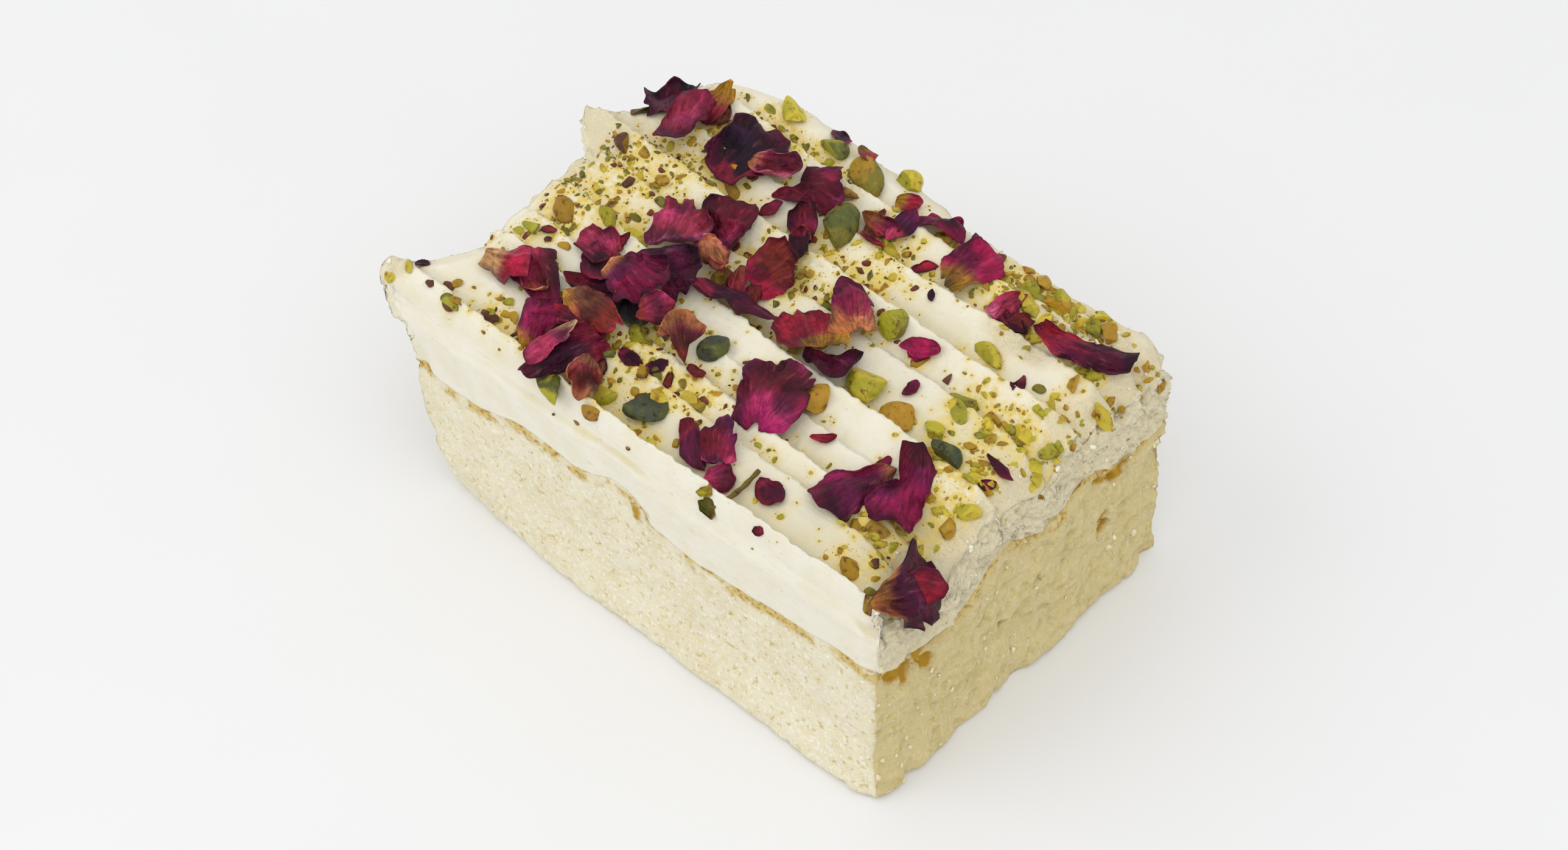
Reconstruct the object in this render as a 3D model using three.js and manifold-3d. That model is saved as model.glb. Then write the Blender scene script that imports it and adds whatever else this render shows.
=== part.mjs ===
// A cut piece of milk cake: pale sponge under a thick layer of cream that was combed lengthwise,
// strewn with dried rose petals and chopped pistachios. Millimetres, +Z up. The origin is the
// middle of the flat base. X runs along the strokes in the cream, towards the rough cut end, and
// the smooth cut side faces -Y.

import * as THREE from "three";
import { mergeVertices } from "three/addons/utils/BufferGeometryUtils.js";
import Module from "manifold-3d";

const { degToRad, lerp, smoothstep } = THREE.MathUtils;

// ---- Driving dimensions ------------------------------------------------------------------------

const LENGTH = 102; // at mid height, along the strokes
const WIDTH = 72.4; // at the rough cut end
const FLARE = 4; // how much wider the piece is at its far end
const SPONGE_TOP = 28.5; // the sponge's usual height
const CREAM_TOP = 44; // the usual height of the cream's crests
const GAP = 0.3; // clear space between pieces that touch

const RIGHT = LENGTH / 2; // the rough cut end
const LEFT = -LENGTH / 2;
const NEAR = -WIDTH / 2; // the smooth cut side
const FAR = WIDTH / 2;

// The strokes of the comb, from the near side to the far one. Each rises gently to its crest and
// then drops behind it. "crest" is the crest's y at mid length, and "slant" its drift per mm of x.
const STROKES = [
  { crest: -33.3, slant: -0.03, height: 0.9, drop: 4.2 },
  { crest: -23.2, slant: -0.05, height: -0.6, drop: 1.3 },
  { crest: -18.6, slant: -0.05, height: 0.4, drop: 2.6 },
  { crest: -12.2, slant: -0.05, height: 0.2, drop: 0.9 },
  { crest: -5.4, slant: -0.05, height: 1.7, drop: 4.4 },
  { crest: 6.2, slant: -0.03, height: 0.1, drop: 1.2 },
  { crest: 13.4, slant: -0.03, height: 1.9, drop: 3.8 },
  { crest: 22.3, slant: -0.02, height: 0.8, drop: 2.4 },
  { crest: 30.2, slant: -0.04, height: 1.0, drop: 3.0 },
];
const LIP = 0.9; // width of the steep drop behind a crest
const SWAY = 0.5; // how far a crest wanders from its line
const SHOULDER = 3.6; // how far the cream falls off towards its near edge
const FAR_SHOULDER = 1.8;

// Swellings of the sponge's crust that show along the cut faces.
const CRUST_MOUNDS = [
  { x: -26, y: NEAR, rise: 2.2, reach: 9 },
  { x: 43, y: NEAR, rise: 0.9, reach: 8 },
  { x: RIGHT, y: -7.5, rise: 5.2, reach: 6 },
  { x: RIGHT, y: 13.5, rise: 5.5, reach: 5.5 },
  { x: LEFT, y: 8, rise: 3, reach: 9 },
  { x: 12, y: FAR, rise: 2.6, reach: 10 },
];
const CRUST_LEDGE = { x: -3, y: NEAR, rise: 4.2, reach: 7, end: 2.2 }; // breaks off past its end
const CRUST_WAVE = 0.7;

// Places where the cream's top sags or heaps up.
const CREAM_SWELLS = [
  { x: 53, y: -22, rise: -7, reachX: 10, reachY: 7 },
  { x: 53, y: 3, rise: -4.5, reachX: 8, reachY: 5 },
  { x: 52, y: 24, rise: -2.5, reachX: 7, reachY: 5 },
  { x: -60, y: 0, rise: 3.4, reachX: 26, reachY: 60 },
];

// The rose petals, in the order they fell. "turn" is where the tip points, in degrees from +X.
// "sides" and "ends" are how far the petal bends across and along, in degrees, up where positive.
// "egg" widens the tip end, and "square" fills out the outline's corners. Each mark is a notch or a
// horn of the rim: its angle from the tip in degrees, its share of the radius and its spread.
const PETALS = [
  { x: -49.7, y: 24.7, long: 13, wide: 9, turn: 130,
    sides: 30, ends: -25, marks: [[25, 0.25, 10]], look: "plum" },
  { x: -44.8, y: 22.1, long: 13, wide: 8.5, turn: 118, sides: -45, ends: 10, look: "magenta" },
  { x: -32.7, y: 24.5, long: 17, wide: 13.5, turn: 100,
    sides: 25, ends: 15, square: 2.8, rag: 0.06, look: "ink" },
  { x: -17.7, y: 25.6, long: 14.5, wide: 9.5, turn: 12,
    sides: -35, ends: -20, marks: [[95, 0.3, 16]], look: "burgundy" },
  { x: -25.5, y: 24.1, long: 8, wide: 6, turn: 20, sides: 70, look: "burgundy" },
  { x: -13.9, y: 18.8, long: 9.5, wide: 4.5, turn: -50, sides: 60, look: "burgundy" },
  { x: -10.1, y: 13.3, long: 9, wide: 3.2, turn: -52, sides: 80, look: "burgundy" },
  { x: -9.5, y: 7.2, long: 11, wide: 8, turn: 75, sides: 40, ends: 20, look: "russet" },
  { x: -23, y: 9.1, long: 12, wide: 11, turn: 110, sides: -40, ends: -30, look: "burgundy" },
  { x: -27.1, y: 2.6, long: 14.5, wide: 11.5, turn: 112,
    sides: -30, ends: 20, egg: 0.2, marks: [[38, 0.25, 16]], look: "rose" },
  { x: -10.5, y: -2.5, long: 16, wide: 7, turn: 8, sides: -50, ends: -15, egg: -0.2, look: "plum" },
  { x: -22.3, y: -5.9, long: 12, wide: 10, turn: 60, sides: -30, ends: -20, look: "plum" },
  { x: -19.7, y: -14.3, long: 8.5, wide: 8, turn: -45, sides: 40, look: "ink" },
  { x: -23.4, y: -12, long: 14, wide: 9, turn: -8, sides: -40, ends: -15, egg: 0.1, look: "magenta" },
  { x: -19.8, y: 3.6, long: 6.5, wide: 3.6, turn: -15, sides: -120, ends: -30, look: "tan" },
  { x: -34.6, y: -9, long: 9, wide: 6.5, turn: 170, sides: 35, marks: [[-20, -0.2, 12]], look: "rose" },
  { x: -38.6, y: -19.5, long: 14, wide: 6.5, turn: -32, sides: -30, ends: -30, look: "burgundy" },
  { x: -42.3, y: -22.1, long: 10.5, wide: 8, turn: 10, sides: -35, ends: 20, look: "crimson" },
  { x: -30.4, y: -26.6, long: 11.5, wide: 7.5, turn: 118, sides: -45, ends: -25, look: "magenta" },
  { x: -24.3, y: -23.5, long: 9, wide: 5, turn: 0, sides: -40, look: "burgundy" },
  { x: -22, y: -29.2, long: 13, wide: 8, turn: -110, sides: -45, ends: -20, egg: -0.2, look: "burgundy" },
  { x: -23.8, y: -31.3, long: 12, wide: 4, turn: -95, sides: -90, ends: -20, look: "crimson" },
  { x: -24.5, y: -19.9, long: 12.5, wide: 5.5, turn: 0, sides: -70, ends: -20, look: "russet" },
  { x: -15.3, y: -31.8, long: 8, wide: 6, turn: -60, sides: -40, egg: -0.2, look: "russet" },
  { x: -15, y: -15.4, long: 5.5, wide: 5, turn: 60, sides: -40, look: "rose" },
  { x: -9.7, y: -14.9, long: 8, wide: 6, turn: 140, sides: -40, egg: 0.35, rag: 0.1, look: "tan" },
  { x: 11.2, y: -2.2, long: 9.5, wide: 8, turn: -20, sides: 30, look: "plum" },
  { x: 4.1, y: -0.6, long: 13, wide: 10, turn: 150,
    sides: -35, ends: -20, marks: [[-50, 0.2, 18]], look: "russet" },
  { x: 5.8, y: 8.2, long: 14.5, wide: 7.5, turn: 140, sides: -70, ends: -20, egg: -0.15, look: "rose" },
  { x: 9.4, y: -14, long: 12.5, wide: 12, turn: 110, sides: -25, ends: -25, square: 2.4, look: "magenta" },
  { x: 6.2, y: -29.2, long: 9.5, wide: 3.8, turn: -42, sides: -40, look: "plum" },
  { x: 10, y: -27.5, long: 12.5, wide: 5.5, turn: 128, sides: -40, look: "plum" },
  { x: 30.7, y: -19.2, long: 12.5, wide: 7, turn: -112,
    sides: -35, egg: 0.15, square: 2.6, look: "magenta" },
  { x: 38.5, y: -15.7, long: 14, wide: 9.5, turn: -65,
    sides: -30, egg: 0.35, square: 2.8, look: "magenta" },
  { x: 48.6, y: -28.1, long: 14, wide: 12.5, turn: 60, sides: 30, ends: -30, square: 2.6,
    marks: [[5, -0.45, 14], [38, 0.2, 12], [-35, 0.12, 14]], look: "plum" },
  { x: 14.3, y: 28.1, long: 12, wide: 8, turn: 85, sides: -40, rag: 0.07, look: "rose" },
  { x: -0.3, y: 27.8, long: 7.5, wide: 4, turn: 100, sides: -60, look: "plum" },
  { x: 4, y: 33.3, long: 9, wide: 6.5, turn: -10, sides: -80, ends: -30, look: "plum" },
  { x: 40.6, y: 25.2, long: 17, wide: 6, turn: 17,
    sides: -70, ends: 10, egg: 0.1, square: 2.6, look: "plum" },
];
const PETAL_THICKNESS = 0.5;
const PETAL_RIPPLE = 0.35; // height of the waves in a petal's rim
const SMALL_PETAL = 9.6; // a shorter petal has fewer spokes
const SPOKES = { small: 9, large: 13 };
const PETAL_RINGS = [0.58, 1]; // as shares of the way from a petal's middle to its rim

// Whole and half pistachios, half sunk in the cream.
const KERNELS = [
  { x: -8.7, y: 21.7, long: 10, wide: 6, tall: 4, turn: 118, look: "moss" },
  { x: -13.4, y: 34.2, long: 9, wide: 5.4, tall: 4.2, turn: -35, look: "olive" },
  { x: 17.8, y: -1.6, long: 7.5, wide: 6.5, tall: 4, turn: 130, look: "lime" },
  { x: -7.9, y: 38.4, long: 4.8, wide: 4.8, tall: 4.8, turn: 0, look: "lime" },
  { x: 13.2, y: 10.4, long: 6, wide: 5, tall: 4, turn: 110, look: "olive" },
  { x: 25.8, y: -3.4, long: 5.8, wide: 5.4, tall: 4.5, turn: 20, look: "amber" },
  { x: 36.5, y: -3.7, long: 7, wide: 4, tall: 3.2, turn: -30, look: "moss" },
  { x: -5.2, y: -27.9, long: 7, wide: 6, tall: 2.8, turn: 20, look: "moss" },
  { x: -20.2, y: -34.5, long: 9, wide: 4, tall: 3.5, turn: -22, look: "lime" },
  { x: 14.5, y: -10.5, long: 6.5, wide: 5, tall: 4, turn: 70, look: "amber" },
  { x: -5.1, y: -12.5, long: 6, wide: 4.5, tall: 3, turn: 80, look: "moss" },
];
const KERNEL_SUNK = 0.4; // share of a kernel's height that is below the cream's surface

// Pieces of pistachio fused to the cream: x, y, long, wide and turn.
const CHUNKS = [
  [-37, -3.8, 4.5, 3.8, 20], [-33.5, -1.4, 6, 3, -25], [-44.1, -7.1, 5.2, 4, -15],
  [40.4, -31, 3.8, 3.4, 0], [-33.5, 37.6, 6.5, 4, -40], [-22.5, 36, 6.5, 3.5, -15],
  [39.4, 32.6, 4, 3.5, 0], [-10.8, -34.3, 3.8, 2.8, 0], [-16.5, -18, 5, 2.8, -30],
  [47.2, -11.3, 4, 2.6, 40], [46.2, -15.2, 3.5, 2.6, -50], [47.5, 7.5, 3.5, 2.6, 60],
  [43.2, 6.8, 2.8, 2.4, 0], [24.5, 34.4, 4, 2.6, -40], [29.2, 33.7, 4.5, 3, -30],
  [30.8, 27, 4, 2.2, -70], [28.3, 16.1, 6.5, 3, -20], [42.8, 19.2, 3.8, 1.8, -75],
  [-29.1, 17.5, 4.5, 2, -25], [43, -5, 3.5, 2.5, 20], [35.8, -8.6, 3.4, 2.4, 60],
  [-44.1, -33.2, 4, 2.2, -20], [-1.1, -21.9, 3.6, 2, -5], [31.8, -1.3, 3.2, 2.8, 30],
  [37.1, 6.4, 3.2, 2.6, 20], [31.5, 5.7, 5.5, 2.5, 12], [-48.3, 11.1, 3.8, 2.8, -40],
  [0.2, 24.3, 4.5, 3, -40], [-13.4, -29.4, 5, 3.2, 5], [-45.9, -13.2, 3.2, 2.4, 20],
];

// Scraps of petal fused to the cream, as above.
const SCRAPS = [
  [-42.4, 28.4, 6, 4, -40], [-15.5, 1, 5.5, 2.5, -50], [13.5, -30.4, 5, 4, 45],
  [21.4, -28.2, 6.3, 3, -22], [24.8, 25, 5, 2.6, 80], [27.6, 24.2, 4.5, 2.8, 40],
  [20, 8.8, 4.5, 2.6, 60], [-4.6, 25.6, 7, 2.4, 98], [7.2, 24.5, 4.2, 1.4, 48],
  [-23.5, 38.8, 5.5, 2.6, -30], [-10, -21, 4.6, 1.8, 50], [-3.6, -18.4, 3.2, 2.2, -30],
  [-14.4, -22.2, 4.4, 2, -8], [44.2, -0.8, 5.6, 1.4, 2], [20.7, -14.8, 4.4, 1.3, 28],
  [23.9, 1.9, 3.6, 1.5, 95],
];
const CHUNK_TALL = 0.75; // a chunk's height as a share of its width
const SCRAP_TALL = 0.45;
const BIT_RAISED = 0.15; // how far a chunk's or scrap's middle is above the cream, per its height

// The stalk that lies over the near edge: points of its centre line, as x, y and height above the
// cream, and its radius.
const STALK = {
  path: [[17.9, -26.5, 1.2], [17.6, -30, 0.9], [17.2, -33.6, 0.5], [15.6, -35, 0.2]],
  radius: 0.7,
  sides: 6,
  steps: 6,
};

// ---- Uneven lines --------------------------------------------------------------------------------

// A smooth unevenness between about -1 and 1 along a distance t.
function uneven(t, seed) {
  return (
    0.5 * Math.sin(t / 4.1 + seed * 1.7) +
    0.3 * Math.sin(t / 1.9 + seed * 4.3) +
    0.2 * Math.sin(t / 0.9 + seed * 7.9)
  );
}

// A number from 0 to 1 that depends only on a count and a seed.
function chance(count, seed) {
  const value = Math.sin(count * 127.1 + seed * 311.7) * 43758.5453;
  return value - Math.floor(value);
}

// A hump of height 1 at 0 that has faded out by about twice its reach.
function hump(distance, reach) {
  return Math.exp(-((distance / reach) ** 2));
}

// ---- The four cut faces --------------------------------------------------------------------------

// How far back the upright corners are worn, and how far along the wall that reaches.
const CORNER = { ease: 1.1, reach: 2.2 };
const FAR_RIGHT_CORNER = { ease: 2.2, reach: 3.08 };
const FAR_LEFT_CORNER = { ease: 3, reach: 6 };
const LEFT_FAR_CORNER = { ease: 2.5, reach: 6 };

// How far each wall's foot spreads or is tucked in, and up to which height.
const NEAR_FOOT = { spread: 1.7, more: 0.9, reach: 40, height: 12 }; // spreads more to the right
const NEAR_TUCK = { depth: 3.4, reach: 20, height: 10 }; // at the left end
const RIGHT_FOOT = { spread: 1.8, height: 9 };
const LEFT_TUCK = { depth: 4.5, height: 18 };

// The tips of cream that hang over the left end, and where the overhang starts.
const TIPS = [
  { y: NEAR, out: 11, reach: 9 },
  { y: 14.5, out: 9, reach: 5.5 },
  { y: 4, out: 2, reach: 5 },
];
const OVERHANG_FROM = SPONGE_TOP + 2;

// Where the end and far walls stand off the plan's edge, and how far the far wall leans out per mm.
const RIGHT_BACK = 0.5;
const LEFT_OUT = 1;
const FAR_OUT = 0.6;
const FAR_LEAN = 0.06;
const FLARE_FROM = 20; // the x, to either side, between which the piece widens
const FLARE_TO = -30;

// How uneven each wall is, by how many mm.
const ROUGH = { near: 0.25, far: 0.6, right: 0.5, left: 0.6 };

function nearWall(x, z) {
  const corners = hump(x - RIGHT, CORNER.reach) + hump(x - LEFT, CORNER.reach);
  const spread = NEAR_FOOT.spread + NEAR_FOOT.more * hump(x - RIGHT, NEAR_FOOT.reach);
  const foot = spread * (1 - smoothstep(z, 0, NEAR_FOOT.height));
  const tuck = NEAR_TUCK.depth * hump(x - LEFT, NEAR_TUCK.reach);
  const tuckedFoot = tuck * (1 - smoothstep(z, 0, NEAR_TUCK.height));
  return NEAR + CORNER.ease * corners - foot + tuckedFoot + ROUGH.near * uneven(x, 1);
}

function farWall(x, z) {
  const rightCorner = FAR_RIGHT_CORNER.ease * hump(x - RIGHT, FAR_RIGHT_CORNER.reach);
  const leftCorner = FAR_LEFT_CORNER.ease * hump(x - LEFT, FAR_LEFT_CORNER.reach);
  const flare = FLARE * smoothstep(-x, -FLARE_FROM, -FLARE_TO);
  const lean = FAR_LEAN * (z - SPONGE_TOP);
  return FAR + FAR_OUT + flare - rightCorner - leftCorner + ROUGH.far * uneven(x, 2) + lean;
}

function rightWall(y, z) {
  const corners = hump(y - NEAR, CORNER.reach) + hump(y - FAR, CORNER.reach);
  const foot = RIGHT_FOOT.spread * (1 - smoothstep(z, 0, RIGHT_FOOT.height));
  return RIGHT - RIGHT_BACK - CORNER.ease * corners + foot + ROUGH.right * uneven(y, 3);
}

function leftWall(y, z) {
  const corner = LEFT_FAR_CORNER.ease * hump(y - FAR - FLARE, LEFT_FAR_CORNER.reach);
  const tuckedFoot = LEFT_TUCK.depth * (1 - smoothstep(z, 0, LEFT_TUCK.height));
  let tips = 0;
  for (const tip of TIPS) tips += tip.out * hump(y - tip.y, tip.reach);
  const overhang = tips * smoothstep(z, OVERHANG_FROM, CREAM_TOP);
  return LEFT - LEFT_OUT + tuckedFoot + corner - overhang + ROUGH.left * uneven(y, 4);
}

// ---- Surfaces ------------------------------------------------------------------------------------

function spongeTop(x, y) {
  let z = SPONGE_TOP + CRUST_WAVE * (Math.sin(x / 7.3 + y / 11) + Math.sin(y / 5.9 - x / 13));
  for (const m of CRUST_MOUNDS) z += m.rise * hump(Math.hypot(x - m.x, y - m.y), m.reach);
  const ledge = CRUST_LEDGE;
  const whole = 1 - smoothstep(x, ledge.end - 1, ledge.end + 1);
  return z + ledge.rise * hump(Math.hypot(x - ledge.x, y - ledge.y), ledge.reach) * whole;
}

const CREAM_WAVE = { along: 0.35, across: 0.3 }; // height of the cream's own waves

// How much higher or lower the cream lies here than a level layer would.
function creamSwell(x, y) {
  let z = CREAM_WAVE.along * uneven(x / 2.5, 5) + CREAM_WAVE.across * uneven(y / 2 + x / 9, 6);
  for (const s of CREAM_SWELLS) z += s.rise * hump(x - s.x, s.reachX) * hump(y - s.y, s.reachY);
  return z;
}

function crestLine(index, x) {
  const { crest, slant } = STROKES[index];
  return crest + slant * x + SWAY * uneven(x / 3, index + 10);
}

// The lines that a stroke is drawn by, as shares of the way from the stroke before it to its own
// crest, and how high on the rise each lies.
const STROKE_SHARES = [0.35, 0.72, 1];
const riseAt = (share) => 1 - (1 - share) ** 1.8;
const FAR_SHARES = [0.4, 0.75, 1]; // the lines from the last stroke to the far edge

// The y and z of every lengthwise line of the cream's top at one x, from the near edge to the far one.
function creamProfile(x, near, far) {
  const edge = CREAM_TOP - SHOULDER;
  const lines = [{ y: near, z: edge }];
  let before = near;
  let floor = edge;
  STROKES.forEach((stroke, index) => {
    const crest = crestLine(index, x);
    const top = CREAM_TOP + stroke.height;
    for (const share of STROKE_SHARES)
      lines.push({ y: lerp(before, crest, share), z: lerp(floor, top, riseAt(share)) });
    before = crest + LIP;
    floor = top - stroke.drop * (0.8 + 0.3 * uneven(x / 3, index + 20));
    lines.push({ y: before, z: floor });
  });
  for (const share of FAR_SHARES) {
    const top = CREAM_TOP - FAR_SHOULDER * share ** 3;
    lines.push({ y: lerp(before, far, share), z: lerp(floor, top, Math.min(1, 2 * share)) });
  }
  return lines.map((p) => ({ y: p.y, z: p.z + creamSwell(x, p.y) }));
}

// ---- Solids and meshes ---------------------------------------------------------------------------

const wasm = await Module();
wasm.setup();

function merged(geometry) {
  const bare = geometry.clone();
  bare.deleteAttribute("normal");
  bare.deleteAttribute("uv");
  return mergeVertices(bare, 1e-4);
}

function solidOf(geometry) {
  const { attributes, index } = merged(geometry);
  const vertProperties = attributes.position.array;
  const triVerts = new Uint32Array(index.array);
  return new wasm.Manifold(new wasm.Mesh({ numProp: 3, vertProperties, triVerts }));
}

function geometryOf(solid) {
  const { vertProperties, triVerts } = solid.getMesh();
  const geometry = new THREE.BufferGeometry();
  geometry.setAttribute("position", new THREE.Float32BufferAttribute(vertProperties, 3));
  geometry.setIndex(new THREE.BufferAttribute(new Uint32Array(triVerts), 1));
  geometry.computeVertexNormals();
  return geometry;
}

function geometryFrom(positions) {
  const geometry = new THREE.BufferGeometry();
  geometry.setAttribute("position", new THREE.Float32BufferAttribute(positions, 3));
  return geometry;
}

// A closed skin from a block of points: at(i, j, k) gives the point in column i, row j, level k.
function blockGeometry(columns, rows, levels, at) {
  const positions = [];
  const quad = (a, b, c, d) => positions.push(...a, ...b, ...c, ...a, ...c, ...d);
  for (let i = 0; i < columns; i++)
    for (let j = 0; j < rows; j++) {
      quad(at(i, j, 0), at(i, j + 1, 0), at(i + 1, j + 1, 0), at(i + 1, j, 0));
      quad(at(i, j, levels), at(i + 1, j, levels), at(i + 1, j + 1, levels), at(i, j + 1, levels));
    }
  for (let k = 0; k < levels; k++) {
    for (let i = 0; i < columns; i++) {
      quad(at(i, 0, k), at(i + 1, 0, k), at(i + 1, 0, k + 1), at(i, 0, k + 1));
      quad(at(i, rows, k), at(i, rows, k + 1), at(i + 1, rows, k + 1), at(i + 1, rows, k));
    }
    for (let j = 0; j < rows; j++) {
      quad(at(0, j, k), at(0, j, k + 1), at(0, j + 1, k + 1), at(0, j + 1, k));
      quad(at(columns, j, k), at(columns, j + 1, k), at(columns, j + 1, k + 1), at(columns, j, k + 1));
    }
  }
  return geometryFrom(positions);
}

// A closed skin over rings of [x, y, z] points, each ring level with its fellows, capped flat.
function loftGeometry(rings) {
  const positions = [];
  const count = rings[0].length;
  for (let r = 0; r + 1 < rings.length; r++)
    for (let i = 0; i < count; i++) {
      const j = (i + 1) % count;
      const [a, b, c, d] = [rings[r][i], rings[r][j], rings[r + 1][j], rings[r + 1][i]];
      positions.push(...a, ...b, ...c, ...a, ...c, ...d);
    }
  const cap = (ring, up) => {
    const flat = ring.map(([x, y]) => new THREE.Vector2(x, y));
    for (const [a, b, c] of THREE.ShapeUtils.triangulateShape(flat, []))
      positions.push(...ring[a], ...ring[up ? b : c], ...ring[up ? c : b]);
  };
  cap(rings[0], false);
  cap(rings.at(-1), true);
  return geometryFrom(positions);
}

// ---- Sponge and cream ----------------------------------------------------------------------------

// Where a share (u, v) of the plan lies at height z.
function planAt(u, v, z) {
  const y0 = lerp(NEAR, FAR + FLARE / 2, v);
  const x = lerp(leftWall(y0, z), rightWall(y0, z), u);
  return [x, lerp(nearWall(x, z), farWall(x, z), v)];
}

// The piece's outline at height z, drawn in by an inset, as a ring of points.
function outline(z, inset) {
  const steps = { long: 24, short: 17 };
  const shares = [];
  for (let i = 0; i < steps.long; i++) shares.push([i / steps.long, 0]);
  for (let j = 0; j < steps.short; j++) shares.push([1, j / steps.short]);
  for (let i = steps.long; i > 0; i--) shares.push([i / steps.long, 1]);
  for (let j = steps.short; j > 0; j--) shares.push([0, j / steps.short]);
  const shrink = 1 - (2 * inset) / WIDTH;
  return shares.map(([u, v]) => {
    const [x, y] = planAt(u, v, z);
    return [x * shrink, y * shrink, z];
  });
}

// Everything below the sponge's crust. Cutting both layers with it makes them fit.
function underCrust(lift) {
  const step = 4.8;
  const columns = 26;
  const rows = 18;
  const middle = { column: 13.4, row: 8.7 }; // over the origin, so that no lattice line meets a wall
  return solidOf(
    blockGeometry(columns, rows, 1, (i, j, k) => {
      const x = (i - middle.column) * step;
      const y = (j - middle.row) * step;
      return [x, y, k ? spongeTop(x, y) + lift : -SPONGE_TOP];
    }),
  );
}

function spongeSolid() {
  const foot = 0.8; // how far the lowest edge is drawn in
  const levels = [1.2, 6, 14, 22, SPONGE_TOP + 8]; // the last one is above all of the crust
  const rings = [outline(0, foot), ...levels.map((z) => outline(z, 0))];
  return solidOf(loftGeometry(rings)).intersect(underCrust(0));
}

function creamBlock() {
  const columns = 23;
  const levels = 3;
  const ease = 1; // how far the cream's top edge is drawn in from the wall
  const endFall = 2.2; // how far the cream falls off at its two ends
  const bottom = SPONGE_TOP - 4; // below all of the crust
  const edge = CREAM_TOP - SHOULDER;
  const rows = creamProfile(0, NEAR, FAR).length - 1;
  const skin = blockGeometry(columns, rows, levels, (i, j, k) => {
    const u = i / columns;
    const inEase = k === levels ? ease : 0;
    const x = planAt(u, 0.5, edge)[0];
    const line = creamProfile(x, nearWall(x, edge) + inEase, farWall(x, edge) - inEase)[j];
    const top = line.z - (i === 0 || i === columns ? endFall : 0);
    const z = lerp(bottom, top, k / levels);
    return [lerp(leftWall(line.y, z) + inEase, rightWall(line.y, z) - inEase, u), line.y, z];
  });
  return solidOf(skin).subtract(underCrust(GAP));
}

// ---- The lie of the land -------------------------------------------------------------------------

const RELIEF_CELL = 0.5;
const RELIEF_MARGIN = 15; // around the plan

// The height of whatever lies on top, in square cells over the plan.
class Relief {
  constructor() {
    this.cell = RELIEF_CELL;
    this.columns = Math.ceil((LENGTH + 2 * RELIEF_MARGIN) / this.cell);
    this.rows = Math.ceil((WIDTH + 2 * RELIEF_MARGIN) / this.cell);
    this.heights = new Float32Array(this.columns * this.rows).fill(-Infinity);
  }

  cellOf(x, y) {
    return [x / this.cell + this.columns / 2, y / this.cell + this.rows / 2];
  }

  // Visits each cell under a geometry's triangles with its number and the height there.
  scan(geometry, visit) {
    const { position } = geometry.attributes;
    const corners = [0, 1, 2].map(() => new THREE.Vector3());
    const order = geometry.index;
    for (let t = 0; t < order.count; t += 3) {
      corners.forEach((corner, n) => corner.fromBufferAttribute(position, order.getX(t + n)));
      const [a, b, c] = corners.map((p) => [...this.cellOf(p.x, p.y), p.z]);
      const area = (b[0] - a[0]) * (c[1] - a[1]) - (c[0] - a[0]) * (b[1] - a[1]);
      if (Math.abs(area) < 1e-9) continue;
      const first = (n) => Math.ceil(Math.min(a[n], b[n], c[n]));
      const last = (n) => Math.floor(Math.max(a[n], b[n], c[n]));
      for (let i = first(0); i <= last(0); i++)
        for (let j = first(1); j <= last(1); j++) {
          const wb = ((i - a[0]) * (c[1] - a[1]) - (c[0] - a[0]) * (j - a[1])) / area;
          const wc = ((b[0] - a[0]) * (j - a[1]) - (i - a[0]) * (b[1] - a[1])) / area;
          if (wb < 0 || wc < 0 || wb + wc > 1) continue;
          visit(i * this.rows + j, a[2] + wb * (b[2] - a[2]) + wc * (c[2] - a[2]));
        }
    }
  }

  add(geometry) {
    this.scan(geometry, (cell, z) => {
      this.heights[cell] = Math.max(this.heights[cell], z);
    });
  }

  // The highest ground in the cells around this one.
  around(cell) {
    let top = -Infinity;
    for (const di of [-1, 0, 1])
      for (const dj of [-1, 0, 1]) top = Math.max(top, this.heights[cell + di * this.rows + dj]);
    return top;
  }

  // How far a geometry must be lifted to lie on top of everything.
  liftFor(geometry) {
    let lift = -Infinity;
    this.scan(geometry, (cell, z) => {
      lift = Math.max(lift, this.around(cell) - z);
    });
    return lift;
  }

  heightAt(x, y) {
    const [i, j] = this.cellOf(x, y).map(Math.round);
    return this.heights[i * this.rows + j];
  }

  // The upward direction square to the ground within a reach of a place.
  normalAt(x, y, reach) {
    const samples = 24; // taken in turn on a ring at the full reach and on an inner one
    const inner = 0.6;
    const sums = { xx: 0, xy: 0, yy: 0, xz: 0, yz: 0 };
    const middle = this.heightAt(x, y);
    for (let n = 0; n < samples; n++) {
      const r = reach * (n % 2 ? 1 : inner);
      const dx = r * Math.cos((n * 2 * Math.PI) / samples);
      const dy = r * Math.sin((n * 2 * Math.PI) / samples);
      const dz = this.heightAt(x + dx, y + dy) - middle;
      if (!Number.isFinite(dz)) continue;
      sums.xx += dx * dx;
      sums.xy += dx * dy;
      sums.yy += dy * dy;
      sums.xz += dx * dz;
      sums.yz += dy * dz;
    }
    const area = sums.xx * sums.yy - sums.xy ** 2;
    const slopeX = (sums.xz * sums.yy - sums.yz * sums.xy) / area;
    const slopeY = (sums.yz * sums.xx - sums.xz * sums.xy) / area;
    return new THREE.Vector3(-slopeX, -slopeY, 1).normalize();
  }
}

// ---- Petals --------------------------------------------------------------------------------------

// How far a point gets, and how high, at a distance along an arc that bends by so much per mm.
function arc(distance, bend) {
  if (!bend) return [distance, 0];
  return [Math.sin(bend * distance) / bend, (1 - Math.cos(bend * distance)) / bend];
}

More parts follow.
